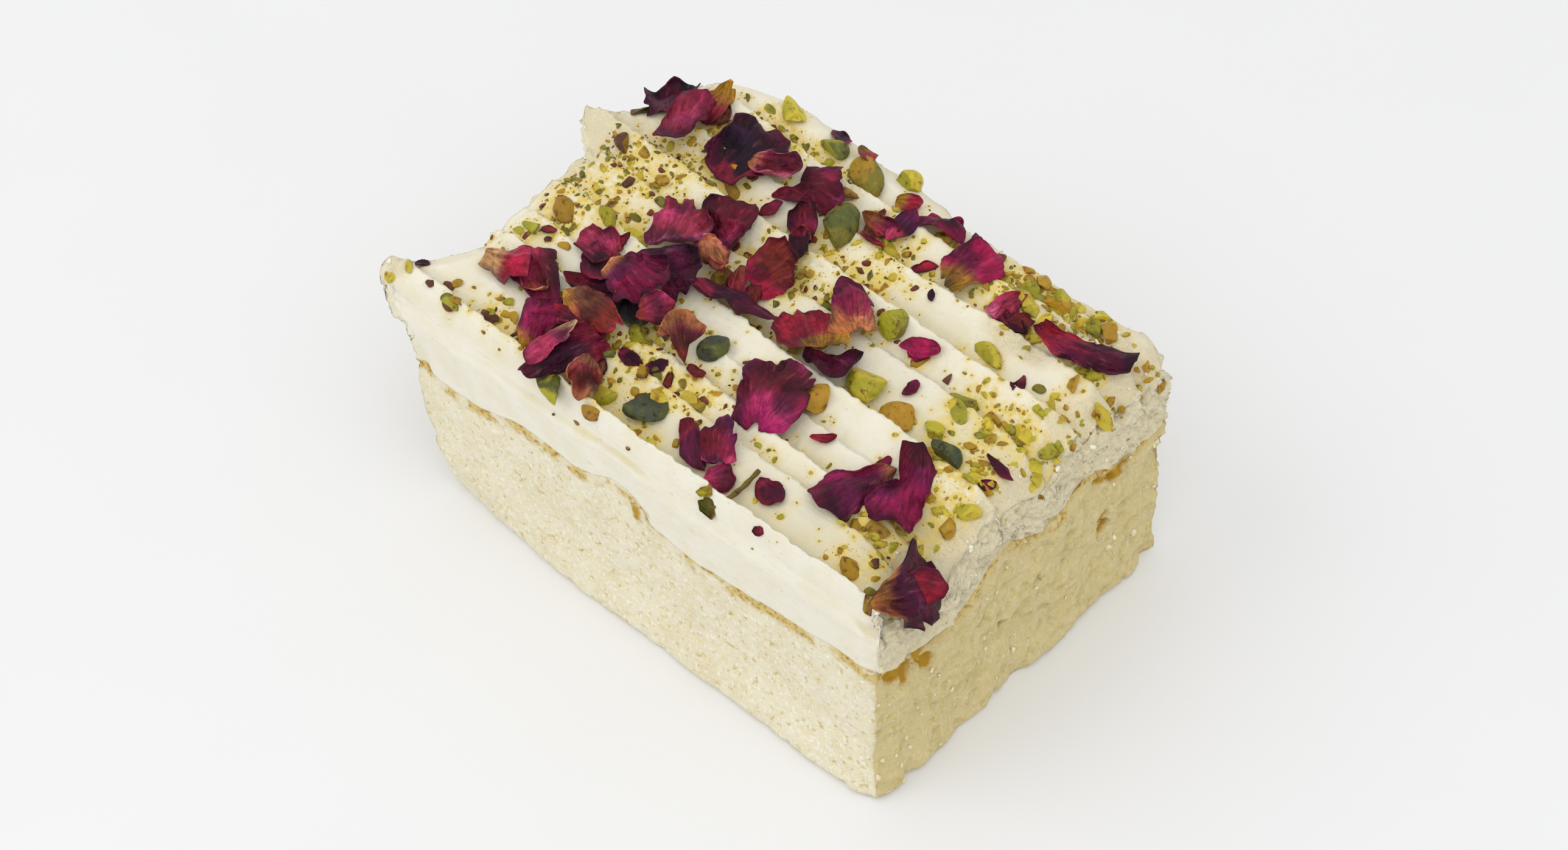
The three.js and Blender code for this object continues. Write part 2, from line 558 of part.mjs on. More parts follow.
// The distance from a petal's middle to its rim at an angle from its tip.
function petalRadius(petal, angle, seed) {
  const { long, wide, egg = 0.1, square = 2, rag = 0.08, marks = [] } = petal;
  const along = Math.abs((2 * Math.cos(angle)) / long);
  const across = Math.abs((2 * Math.sin(angle)) / wide);
  const smooth = (along ** square + across ** square) ** (-1 / square);
  let radius = smooth * (1 + rag * uneven(angle * 9, seed));
  for (const [at, share, spread] of marks) {
    const off = Math.atan2(Math.sin(angle - degToRad(at)), Math.cos(angle - degToRad(at)));
    radius *= 1 + share * hump(off, degToRad(spread));
  }
  return radius * (1 + egg * Math.abs(Math.sin(angle)) * Math.cos(angle));
}

// A point of a petal's middle surface, in the petal's own axes, with its tip along +X.
function petalPoint(petal, angle, share, seed) {
  const radius = share * petalRadius(petal, angle, seed);
  const [x, xRise] = arc(radius * Math.cos(angle), degToRad(petal.ends ?? 0) / petal.long);
  const [y, yRise] = arc(radius * Math.sin(angle), degToRad(petal.sides ?? 0) / petal.wide);
  const ripple = PETAL_RIPPLE * share ** 2 * uneven(angle * 6, seed + 50);
  return new THREE.Vector3(x, y, xRise + yRise + ripple);
}

function petalGeometry(petal, seed) {
  const spokes = petal.long < SMALL_PETAL ? SPOKES.small : SPOKES.large;
  const middle = [new THREE.Vector3(0, 0, 0)];
  for (const share of PETAL_RINGS)
    for (let s = 0; s < spokes; s++)
      middle.push(petalPoint(petal, (s * 2 * Math.PI) / spokes, share, seed));
  const at = (ring, s) => 1 + ring * spokes + (s % spokes);
  const faces = [];
  for (let s = 0; s < spokes; s++) {
    faces.push([0, at(0, s), at(0, s + 1)]);
    faces.push([at(0, s), at(1, s), at(1, s + 1)], [at(0, s), at(1, s + 1), at(0, s + 1)]);
  }
  const sheet = geometryFrom(middle.flatMap((p) => p.toArray()));
  sheet.setIndex(faces.flat());
  sheet.computeVertexNormals();
  const normal = new THREE.Vector3();
  const side = (sign) =>
    middle.map((p, n) => {
      normal.fromBufferAttribute(sheet.attributes.normal, n);
      return p.clone().addScaledVector(normal, (sign * PETAL_THICKNESS) / 2);
    });
  const points = [...side(1), ...side(-1)];
  const under = middle.length;
  const all = [...faces, ...faces.map(([a, b, c]) => [under + a, under + c, under + b])];
  for (let s = 0; s < spokes; s++) {
    const [a, b] = [at(1, s), at(1, s + 1)];
    all.push([a, under + a, under + b], [a, under + b, b]);
  }
  const geometry = geometryFrom(points.flatMap((p) => p.toArray()));
  geometry.setIndex(all.flat());
  return geometry;
}

// Turns a shape whose long axis is +X to a heading on sloping ground, and moves it to a place.
function lay(geometry, x, y, z, turn, up) {
  const along = new THREE.Vector3(Math.cos(degToRad(turn)), Math.sin(degToRad(turn)), 0);
  const across = new THREE.Vector3().crossVectors(up, along).normalize();
  along.crossVectors(across, up);
  geometry.applyMatrix4(new THREE.Matrix4().makeBasis(along, across, up));
  return geometry.translate(x, y, z);
}

// Lets a petal down on the pile at the lean, off square to the ground, where it comes to lie lowest.
const LEANS = [-0.36, -0.18, 0, 0.18, 0.36];
const CLEARANCE = 0.1; // above the highest ground that a petal touches

function settle(petal, shape, ground, pile) {
  const { x, y, long, turn } = petal;
  const square = ground.normalAt(x, y, long / 3);
  let lowest = { lift: Infinity };
  for (const leanX of LEANS)
    for (const leanY of LEANS) {
      const up = square.clone().add(new THREE.Vector3(leanX, leanY, 0)).normalize();
      const geometry = lay(shape.clone(), x, y, 0, turn, up);
      const lift = pile.liftFor(geometry) + CLEARANCE;
      if (lift < lowest.lift) lowest = { geometry, lift };
    }
  return lowest.geometry.translate(0, 0, lowest.lift);
}

// ---- Pistachios, scraps and the stalk ------------------------------------------------------------

const CHIPPED = { least: 0.86, spread: 0.24 }; // how far a lump's corners reach

// A chipped lump that fills a box of the given sizes.
function lumpGeometry(long, wide, tall, detail, seed) {
  const lump = merged(new THREE.IcosahedronGeometry(0.5, detail));
  const { position } = lump.attributes;
  const size = new THREE.Vector3(long, wide, tall);
  const point = new THREE.Vector3();
  for (let n = 0; n < position.count; n++) {
    const reach = CHIPPED.least + CHIPPED.spread * chance(n, seed);
    point.fromBufferAttribute(position, n).multiply(size).multiplyScalar(reach);
    position.setXYZ(n, ...point);
  }
  return lump;
}

const LEVEL = new THREE.Vector3(0, 0, 1);

function kernelGeometry(kernel, seed, ground, gap) {
  const { x, y, long, wide, tall, turn } = kernel;
  const z = ground.heightAt(x, y) + tall * (0.5 - KERNEL_SUNK);
  const lump = lumpGeometry(long + 2 * gap, wide + 2 * gap, tall + 2 * gap, 1, seed);
  return lay(lump, x, y, z, turn, LEVEL);
}

function bitGeometry([x, y, long, wide, turn], tallShare, seed, ground) {
  const tall = wide * tallShare;
  const z = ground.heightAt(x, y) + BIT_RAISED * tall;
  const up = ground.normalAt(x, y, long / 2);
  return lay(lumpGeometry(long, wide, tall, 0, seed), x, y, z, turn, up);
}

// A round rod with few sides along a path.
function stalkGeometry(ground) {
  const { path, radius, sides, steps } = STALK;
  const points = path.map(([x, y, above]) => new THREE.Vector3(x, y, ground.heightAt(x, y) + above));
  const section = new THREE.Shape();
  for (let s = 0; s < sides; s++) {
    const angle = (s * 2 * Math.PI) / sides;
    const go = s ? "lineTo" : "moveTo";
    section[go](radius * Math.cos(angle), radius * Math.sin(angle));
  }
  const extrudePath = new THREE.CatmullRomCurve3(points);
  return new THREE.ExtrudeGeometry(section, { steps, extrudePath, bevelEnabled: false });
}

// ---- Assembly ------------------------------------------------------------------------------------

const COLOURS = {
  sponge: 0xeae4c4,
  cream: 0xf4f0dd,
  plum: 0x5a1f3c,
  magenta: 0x9a2350,
  ink: 0x3a2233,
  burgundy: 0x701a36,
  rose: 0xb83a5c,
  crimson: 0xb51d48,
  russet: 0x8c2f2c,
  tan: 0xb07a52,
  moss: 0x5d6b2c,
  olive: 0x80802c,
  lime: 0xa3a632,
  amber: 0xa8862a,
};

function look(colour, roughness) {
  return new THREE.MeshStandardMaterial({ color: COLOURS[colour], roughness, metalness: 0 });
}

const cake = new THREE.Group();
function addPiece(name, geometry, material) {
  geometry.computeVertexNormals();
  const mesh = new THREE.Mesh(geometry, material);
  mesh.name = name;
  cake.add(mesh);
}

const CHUNK_SEED = 100;
const SCRAP_SEED = 200;
const numbered = (kind, index) => `${kind}_${String(index + 1).padStart(2, "0")}`;

const ground = new Relief();
let cream = creamBlock();
ground.add(geometryOf(cream));

KERNELS.forEach((kernel, index) => {
  cream = cream.subtract(solidOf(kernelGeometry(kernel, index, ground, GAP)));
});
CHUNKS.forEach((chunk, index) => {
  cream = cream.add(solidOf(bitGeometry(chunk, CHUNK_TALL, CHUNK_SEED + index, ground)));
});
SCRAPS.forEach((scrap, index) => {
  cream = cream.add(solidOf(bitGeometry(scrap, SCRAP_TALL, SCRAP_SEED + index, ground)));
});
cream = cream.add(solidOf(stalkGeometry(ground)));

const kernels = KERNELS.map((kernel, index) => kernelGeometry(kernel, index, ground, 0));
const creamGeometry = geometryOf(cream);
const pile = new Relief();
pile.add(creamGeometry);
for (const kernel of kernels) pile.add(kernel);

addPiece("sponge", geometryOf(spongeSolid()), look("sponge", 0.95));
addPiece("cream", creamGeometry, look("cream", 0.6));
kernels.forEach((kernel, index) => {
  addPiece(numbered("pistachio", index), kernel, look(KERNELS[index].look, 0.6));
});

PETALS.forEach((petal, index) => {
  const geometry = settle(petal, petalGeometry(petal, index), ground, pile);
  pile.add(geometry);
  addPiece(numbered("petal", index), geometry, look(petal.look, 0.75));
});

export default cake;
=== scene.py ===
"""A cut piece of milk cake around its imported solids: pale sponge under thick cream that was combed
lengthwise, strewn with dried rose petals and chopped pistachios. Lengths in the tables and the
functions are millimetres. The axes are the solids' own: X along the strokes towards the rough cut
end, the smooth cut side faces -Y, and the origin is the middle of the flat base."""

import itertools
import math

import bmesh
import bpy
import numpy as np
from mathutils import Matrix, Vector
from mathutils.bvhtree import BVHTree


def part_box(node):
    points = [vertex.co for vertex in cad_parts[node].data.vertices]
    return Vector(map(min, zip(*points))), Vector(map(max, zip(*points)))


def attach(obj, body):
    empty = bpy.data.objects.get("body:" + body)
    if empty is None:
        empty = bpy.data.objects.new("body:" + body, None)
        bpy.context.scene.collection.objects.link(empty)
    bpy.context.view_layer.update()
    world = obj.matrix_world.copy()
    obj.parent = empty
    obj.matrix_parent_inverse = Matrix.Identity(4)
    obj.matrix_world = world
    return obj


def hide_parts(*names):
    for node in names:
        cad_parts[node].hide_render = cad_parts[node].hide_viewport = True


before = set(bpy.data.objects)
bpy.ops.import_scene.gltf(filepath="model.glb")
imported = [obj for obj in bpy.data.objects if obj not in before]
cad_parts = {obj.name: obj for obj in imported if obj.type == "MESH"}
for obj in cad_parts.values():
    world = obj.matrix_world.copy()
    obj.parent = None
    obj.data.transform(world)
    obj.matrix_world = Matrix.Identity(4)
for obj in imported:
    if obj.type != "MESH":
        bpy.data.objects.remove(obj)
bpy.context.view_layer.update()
MM = 0.001
AZIMUTH = 44.053  # of the camera, in degrees

# ---- Sizes that the solids have too ----

LENGTH = 102
WIDTH = 72.4
FLARE = 4  # how much wider the left end is
SPONGE_TOP = 28.5
CREAM_TOP = 44
RIGHT, LEFT = LENGTH / 2, -LENGTH / 2
NEAR, FAR = -WIDTH / 2, WIDTH / 2

# Crest, slant, height and drop of each stroke of the comb.
STROKES = [
    (-33.3, -0.03, 0.9, 4.2), (-23.2, -0.05, -0.6, 1.3), (-18.6, -0.05, 0.4, 2.6),
    (-12.2, -0.05, 0.2, 0.9), (-5.4, -0.05, 1.7, 4.4), (6.2, -0.03, 0.1, 1.2),
    (13.4, -0.03, 1.9, 3.8), (22.3, -0.02, 0.8, 2.4), (30.2, -0.04, 1.0, 3.0),
]
LIP = 0.9  # how wide the steep far side of a stroke is
SWAY = 0.5  # how far a crest wanders sideways
SHOULDER = 3.6  # how far the cream's near edge lies below its top
FAR_SHOULDER = 1.8
END_FALL, END_REACH = 2.2, 4.4  # how far the cream falls off at its ends, and over what length
EASE = 1  # how far the cream's top edge is drawn in

# x, y, rise and reach of the swellings of the sponge's crust.
CRUST_MOUNDS = [
    (-26, NEAR, 2.2, 9), (43, NEAR, 0.9, 8), (RIGHT, -7.5, 5.2, 6), (RIGHT, 13.5, 5.5, 5.5),
    (LEFT, 8, 3, 9), (12, FAR, 2.6, 10),
]
CRUST_WAVE = 0.7  # height of each of the crust's two slow waves

# x, y, rise and the two reaches of the places where the cream sags or heaps up.
CREAM_SWELLS = [
    (53, -22, -7, 10, 7), (53, 3, -4.5, 8, 5), (52, 24, -2.5, 7, 5), (-60, 0, 3.4, 26, 60),
]

# Long, wide, tall and turn of each pistachio, and its two colours.
KERNELS = [
    (10, 6, 4, 118, "forest", "olive"), (9, 5.4, 4.2, -35, "olive", "ochre"),
    (7.5, 6.5, 4, 130, "lime", "lemon"), (4.8, 4.8, 4.8, 0, "lemon", "lime"),
    (6, 5, 4, 110, "olive", "lime"), (5.8, 5.4, 4.5, 20, "ochre", "amber"),
    (7, 4, 3.2, -30, "slate", "forest"), (7, 6, 2.8, 20, "forest", "slate"),
    (9, 4, 3.5, -22, "lime", "forest"), (6.5, 5, 4, 70, "ochre", "amber"),
    (6, 4.5, 3, 80, "forest", "slate"),
]

# x, y, long, wide and turn of the pistachio pieces that lie in the cream, and of the petal scraps
# with their colour.
CHUNKS = [
    (-37, -3.8, 4.5, 3.8, 20), (-33.5, -1.4, 6, 3, -25), (-44.1, -7.1, 5.2, 4, -15),
    (40.4, -31, 3.8, 3.4, 0), (-33.5, 37.6, 6.5, 4, -40), (-22.5, 36, 6.5, 3.5, -15),
    (39.4, 32.6, 4, 3.5, 0), (-10.8, -34.3, 3.8, 2.8, 0), (-16.5, -18, 5, 2.8, -30),
    (47.2, -11.3, 4, 2.6, 40), (46.2, -15.2, 3.5, 2.6, -50), (47.5, 7.5, 3.5, 2.6, 60),
    (43.2, 6.8, 2.8, 2.4, 0), (24.5, 34.4, 4, 2.6, -40), (29.2, 33.7, 4.5, 3, -30),
    (30.8, 27, 4, 2.2, -70), (28.3, 16.1, 6.5, 3, -20), (42.8, 19.2, 3.8, 1.8, -75),
    (-29.1, 17.5, 4.5, 2, -25), (43, -5, 3.5, 2.5, 20), (35.8, -8.6, 3.4, 2.4, 60),
    (-44.1, -33.2, 4, 2.2, -20), (-1.1, -21.9, 3.6, 2, -5), (31.8, -1.3, 3.2, 2.8, 30),
    (37.1, 6.4, 3.2, 2.6, 20), (31.5, 5.7, 5.5, 2.5, 12), (-48.3, 11.1, 3.8, 2.8, -40),
    (0.2, 24.3, 4.5, 3, -40), (-13.4, -29.4, 5, 3.2, 5), (-45.9, -13.2, 3.2, 2.4, 20),
]
SCRAPS = [
    (-42.4, 28.4, 6, 4, -40, "peach"), (-15.5, 1, 5.5, 2.5, -50, "tan"),
    (13.5, -30.4, 5, 4, 45, "rose"), (21.4, -28.2, 6.3, 3, -22, "plum"),
    (24.8, 25, 5, 2.6, 80, "rose"), (27.6, 24.2, 4.5, 2.8, 40, "russet"),
    (20, 8.8, 4.5, 2.6, 60, "bright"), (-4.6, 25.6, 7, 2.4, 98, "tan"),
    (7.2, 24.5, 4.2, 1.4, 48, "ruby"), (-23.5, 38.8, 5.5, 2.6, -30, "ink"),
    (-10, -21, 4.6, 1.8, 50, "plum"), (-3.6, -18.4, 3.2, 2.2, -30, "russet"),
    (-14.4, -22.2, 4.4, 2, -8, "plum"), (44.2, -0.8, 5.6, 1.4, 2, "plum"),
    (20.7, -14.8, 4.4, 1.3, 28, "ruby"), (23.9, 1.9, 3.6, 1.5, 95, "plum"),
]
# x, y, width and colour of single small bits that stand out. The colour says nut or petal.
SPECKS = [
    (-48.3, -29.8, 1.6, "brown"), (-6.6, -21.5, 1.4, "russet"), (42.9, 10.5, 1.8, "lime"),
    (26.7, 7.8, 1.4, "brown"), (3, -29.6, 1.2, "ochre"), (-38, -26.1, 1.4, "lime"),
    (45.2, -31.7, 1.5, "olive"), (-27.6, 21, 1.4, "brown"), (-35.3, -27.7, 1.6, "ochre"),
    (48.2, 8.8, 1.6, "lime"), (38.9, 15.6, 1.7, "olive"), (32.5, 34, 1.6, "lemon"),
    (42.3, -27.3, 1.5, "brown"), (-39.4, -29.7, 1.8, "brown"), (25.2, -34.7, 1.3, "wine"),
    (-52.2, 21.6, 1.2, "ochre"), (-43.1, -11.6, 1.5, "russet"), (-39, -12.1, 1.6, "ochre"),
    (-47.5, -14.6, 1.4, "lime"), (-41.8, 5.7, 1.8, "brown"), (-38.2, 10.1, 2, "ochre"),
    (-34.8, 6.2, 1.9, "olive"), (-44.2, 12, 1.7, "ochre"), (-7.6, -26.5, 1.5, "brown"),
    (31, -12.8, 1.8, "berry"), (13.2, 19.6, 1.2, "ink"), (45.2, -4.5, 1.6, "ruby"),
    (-29, -15.1, 2.2, "wine"), (-32, -6, 2, "ruby"), (-16.8, -26.9, 2.4, "tan"),
    (-57.6, -34.2, 2.2, "lemon"), (-55.4, -29.2, 2, "ink"), (-49.4, -32.6, 1.5, "brown"),
    (-44.3, -33.4, 2.2, "brown"), (-43.2, -32.6, 1.8, "ochre"), (-42.2, -31.4, 1.9, "lemon"),
    (-47.5, -28.7, 1.6, "ochre"), (-47.6, -30.8, 1.5, "lime"), (-38.6, -30.1, 2.6, "brown"),
    (-54.4, -32.6, 1.6, "lemon"),
]
CHUNK_TALL = 0.75  # share of a pistachio piece's width

# Points of the stalk's centre line, as x, y and height above the cream.
STALK_PATH = [(17.9, -26.5, 1.2), (17.6, -30, 0.9), (17.2, -33.6, 0.5), (15.6, -35, 0.2)]
STALK_RADIUS = 0.5
STALK_GRID = 24, 10  # steps along it and sides

# ---- Uneven lines and noise ----

def uneven(t, seed):
    """The solids' own unevenness, between about -1 and 1."""
    return (0.5 * np.sin(t / 4.1 + seed * 1.7) + 0.3 * np.sin(t / 1.9 + seed * 4.3)
            + 0.2 * np.sin(t / 0.9 + seed * 7.9))


def smooth(x, low, high):
    t = np.clip((x - low) / (high - low), 0, 1)
    return t * t * (3 - 2 * t)


def hump(distance, reach):
    return np.exp(-((distance / reach) ** 2))


def lerp(a, b, share):
    return a + (b - a) * share


def polar(radius, angle, height=0):
    return np.stack([radius * np.cos(angle), radius * np.sin(angle), 0 * angle + height], 1)


TABLE = 32
VALUES = np.random.default_rng(5).uniform(-1, 1, (TABLE,) * 3)
PLACES = np.random.default_rng(6).uniform(0, 1, (TABLE,) * 3 + (3,))


def noise(points, size, seed=0):
    """Smooth noise between -1 and 1, with lumps of about that size."""
    p = points / size + seed * 7.31
    cell = np.floor(p).astype(int)
    t = p - cell
    t = t * t * (3 - 2 * t)
    total = np.zeros(len(p))
    for corner in itertools.product((0, 1), repeat=3):
        weight = np.prod(np.where(corner, t, 1 - t), axis=1)
        total += weight * VALUES[tuple(((cell + corner) % TABLE).T)]
    return total


def fractal(points, size, seed=0, octaves=3):
    total = sum(noise(points, size / 2 ** n, seed + n) / 2 ** n for n in range(octaves))
    return total / (2 - 2 ** (1 - octaves))


def grains(points, size, seed=0):
    """How far each point is from the nearest of scattered spots, one to each cube of that size."""
    p = points / size + seed * 3.17
    cell = np.floor(p).astype(int)
    nearest = np.full(len(p), 9.0)
    for step in itertools.product((-1, 0, 1), repeat=3):
        around = cell + step
        spots = around + PLACES[tuple((around % TABLE).T)]
        nearest = np.minimum(nearest, ((p - spots) ** 2).sum(1))
    return np.sqrt(nearest)


def ridges(points, size, seed, level=0.6):
    """Narrow ridges that reach up to the level."""
    return level - 2 * np.abs(noise(points, size, seed))


# ---- Walls and surfaces, as the solids have them ----

def near_wall(x, z):
    corners = hump(x - RIGHT, 2.2) + hump(x - LEFT, 2.2)
    foot = (1.7 + 0.9 * hump(x - RIGHT, 40)) * (1 - smooth(z, 0, 12))
    tuck = 3.4 * hump(x - LEFT, 20) * (1 - smooth(z, 0, 10))
    return NEAR + 1.1 * corners - foot + tuck + 0.25 * uneven(x, 1)


def far_wall(x, z):
    corners = 2.2 * hump(x - RIGHT, 3.08) + 3 * hump(x - LEFT, 6)
    flare = FLARE * smooth(-x, -20, 30)
    return FAR + 0.6 + flare - corners + 0.6 * uneven(x, 2) + 0.06 * (z - SPONGE_TOP)


def right_wall(y, z):
    corners = hump(y - NEAR, 2.2) + hump(y - FAR, 2.2)
    return RIGHT - 0.5 - 1.1 * corners + 1.8 * (1 - smooth(z, 0, 9)) + 0.5 * uneven(y, 3)


def left_wall(y, z):
    tips = 11 * hump(y - NEAR, 9) + 9 * hump(y - 14.5, 5.5) + 2 * hump(y - 4, 5)
    overhang = tips * smooth(z, SPONGE_TOP + 2, CREAM_TOP)
    tuck = 4.5 * (1 - smooth(z, 0, 18))
    corner = 2.5 * hump(y - FAR - FLARE, 6)
    return LEFT - 1 + tuck + corner - overhang + 0.6 * uneven(y, 4)


def plan_at(u, v, z):
    y0 = lerp(NEAR, FAR + FLARE / 2, v)
    x = lerp(left_wall(y0, z), right_wall(y0, z), u)
    return x, lerp(near_wall(x, z), far_wall(x, z), v)


def sponge_top(x, y):
    z = SPONGE_TOP + CRUST_WAVE * (np.sin(x / 7.3 + y / 11) + np.sin(y / 5.9 - x / 13))
    for mound_x, mound_y, rise, reach in CRUST_MOUNDS:
        z = z + rise * hump(np.hypot(x - mound_x, y - mound_y), reach)
    ledge = 4.2 * hump(np.hypot(x + 3, y - NEAR), 7)
    return z + ledge * (1 - smooth(x, 1.2, 3.2))


def cream_swell(x, y):
    z = 0.35 * uneven(x / 2.5, 5) + 0.3 * uneven(y / 2 + x / 9, 6)
    for swell_x, swell_y, rise, reach_x, reach_y in CREAM_SWELLS:
        z = z + rise * hump(x - swell_x, reach_x) * hump(y - swell_y, reach_y)
    return z


def crest_line(index, x):
    crest, slant = STROKES[index][:2]
    ragged = 0.22 * np.sin(x / 0.83 + index * 2.1) * np.sin(x / 2.3 + index)
    ragged += 0.16 * np.sin(x / 0.37 + index * 4.7) * np.sin(x / 1.3 + index * 2)
    return crest + slant * x + SWAY * uneven(x / 3, index + 10) + ragged


# The lengthwise lines of the cream's top: the stroke, the part of it and the share of that part.
RISING, FALLING, LAST = range(3)
LINE_GAP = 0.46  # between two lines
LIP_LINES = 5


def cream_lines():
    lines = [(0, RISING, 0)]
    before = NEAR
    for index, (crest, *_) in enumerate(STROKES):
        count = round((crest - before) / LINE_GAP)
        lines += [(index, RISING, n / count) for n in range(1, count + 1)]
        lines += [(index, FALLING, n / LIP_LINES) for n in range(1, LIP_LINES + 1)]
        before = crest + LIP
    count = round((FAR + FLARE / 2 - before) / LINE_GAP)
    lines += [(len(STROKES), LAST, n / count) for n in range(1, count + 1)]
    return np.array(lines)


LINES = cream_lines()


def cream_line(x, near, far, row):
    """y and z of the cream's top on a lengthwise line, between the near and the far edge."""
    stroke, part, share = LINES[row].T
    y, z = np.zeros_like(x), np.zeros_like(x)
    before, floor = near, np.full_like(x, CREAM_TOP - SHOULDER)
    for index, (_, _, height, drop) in enumerate(STROKES):
        crest = crest_line(index, x)
        top = CREAM_TOP + height
        rising = (stroke == index) & (part == RISING)
        falling = (stroke == index) & (part == FALLING)
        belly = 1 - (1 - share) ** 1.5
        y = np.where(rising, lerp(before, crest, share), y)
        z = np.where(rising, lerp(floor, top, belly), z)
        shallow = 1 - 0.75 * smooth(-x, 43, 56)
        next_floor = top - drop * shallow * (0.96 + 0.36 * uneven(x / 3, index + 20))
        y = np.where(falling, crest + LIP * share ** 1.5, y)
        z = np.where(falling, lerp(top, next_floor, share), z)
        before, floor = crest + LIP, next_floor
    last = part == LAST
    top = CREAM_TOP - FAR_SHOULDER * share ** 3
    y = np.where(last, lerp(before, far, share), y)
    z = np.where(last, lerp(floor, top, np.minimum(1, 2 * share)), z)
    return y, z + cream_swell(x, y)


# ---- Meshes ----

def block(columns, rows, levels, steps):
    """Lattice places on a block's skin and its faces. steps are those of the lower and upper cap."""
    ring_i = np.concatenate([np.arange(columns), np.full(rows, columns),
                             np.arange(columns, 0, -1), np.zeros(rows, int)])
    ring_j = np.concatenate([np.zeros(columns, int), np.arange(rows),
                             np.full(columns, rows), np.arange(rows, 0, -1)])
    ring = len(ring_i)
    places = [np.stack([ring_i, ring_j, np.full(ring, k)], 1) for k in range(levels + 1)]
    here = np.arange(ring)
    there = (here + 1) % ring
    faces = []
    for k in range(levels):
        base = k * ring
        faces += (np.stack([here, there, there + ring, here + ring], 1) + base).tolist()
    count = ring * (levels + 1)
    for level, step, upward in ((0, steps[0], False), (levels, steps[1], True)):
        inner = np.meshgrid(np.arange(step, columns, step), np.arange(step, rows, step))
        inner_i, inner_j = (grid.ravel() for grid in inner)
        ids = np.full((columns + 1, rows + 1), -1)
        ids[ring_i, ring_j] = level * ring + here
        ids[inner_i, inner_j] = count + np.arange(len(inner_i))
        count += len(inner_i)
        places.append(np.stack([inner_i, inner_j, np.full(len(inner_i), level)], 1))
        for a in range(0, columns, step):
            for b in range(0, rows, step):
                c, d = min(a + step, columns), min(b + step, rows)
                face = [ids[n, b] for n in range(a, c)] + [ids[c, n] for n in range(b, d)]
                face += [ids[n, d] for n in range(c, a, -1)] + [ids[a, n] for n in range(d, b, -1)]
                face = [int(n) for n in face if n >= 0]
                faces.append(face if upward else face[::-1])
    return np.concatenate(places), faces


def new_mesh(name, points, faces):
    mesh = bpy.data.meshes.new(name)
    mesh.from_pydata((points * MM).tolist(), [], faces)
    mesh.update()
    return mesh


def normals_of(mesh):
    out = np.zeros(len(mesh.vertices) * 3, np.float32)
    mesh.vertex_normals.foreach_get("vector", out)
    return out.reshape(-1, 3).astype(float)


def move_points(mesh, points):
    mesh.vertices.foreach_set("co", (points * MM).ravel().astype(np.float32))
    mesh.update()


def give(mesh, name, values):
    """Puts a number or a colour for each point on the mesh."""
    values = np.asarray(values, np.float32)
    if values.ndim == 1:
        mesh.attributes.new(name, "FLOAT", "POINT").data.foreach_set("value", values)
    else:
        mesh.attributes.new(name, "FLOAT_VECTOR", "POINT").data.foreach_set("vector", values.ravel())


def add_object(name, data):
    thing = bpy.data.objects.new(name, data)
    bpy.context.scene.collection.objects.link(thing)
    return thing


def add_piece(mesh, material, slot, *nodes, sharp=None):
    mesh.materials.append(material)
    mesh.shade_smooth()
    if sharp:
        mesh.set_sharp_from_angle(angle=math.radians(sharp))
    piece = add_object(mesh.name, mesh)
    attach(piece, "root")
    if nodes:
        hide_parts(*nodes)


def srgb(code):
    """A colour as linear light, from its usual six hex digits."""
    parts = np.array([int(code[n:n + 2], 16) / 255 for n in (0, 2, 4)])
    return np.where(parts <= 0.04045, parts / 12.92, ((parts + 0.055) / 1.055) ** 2.4)


# ---- Sponge ----

# y, z and reach of the deep, moist pits in the rough cut end.
PITS = [
    (-31.5, 25.3, 2.8), (-29, 24.2, 2.5), (-25.5, 25, 2.7), (-22.5, 26.2, 2.2), (-19.8, 27.2, 2.2),
    (-24, 21.6, 1.9), (21.5, 27.5, 3.0), (24, 26.5, 2.2), (17.5, 28.4, 1.8), (19, 16.5, 1.9),
    (18.6, 18.4, 1.4), (-6, 14, 1.0), (2, 19, 1.0), (30, 20, 0.9), (-12, 20, 0.9),
]
PIT_DEPTH = 1.7
# Where along the near side the moist pocket is, and how far it lies below the crust.
POCKET_X, POCKET_BELOW = -0.5, 3.6
SPONGE_GRID = 240, 168, 66  # columns, rows and levels of its skin
FOOT_EASE = 0.8  # how far the base's edge is drawn in


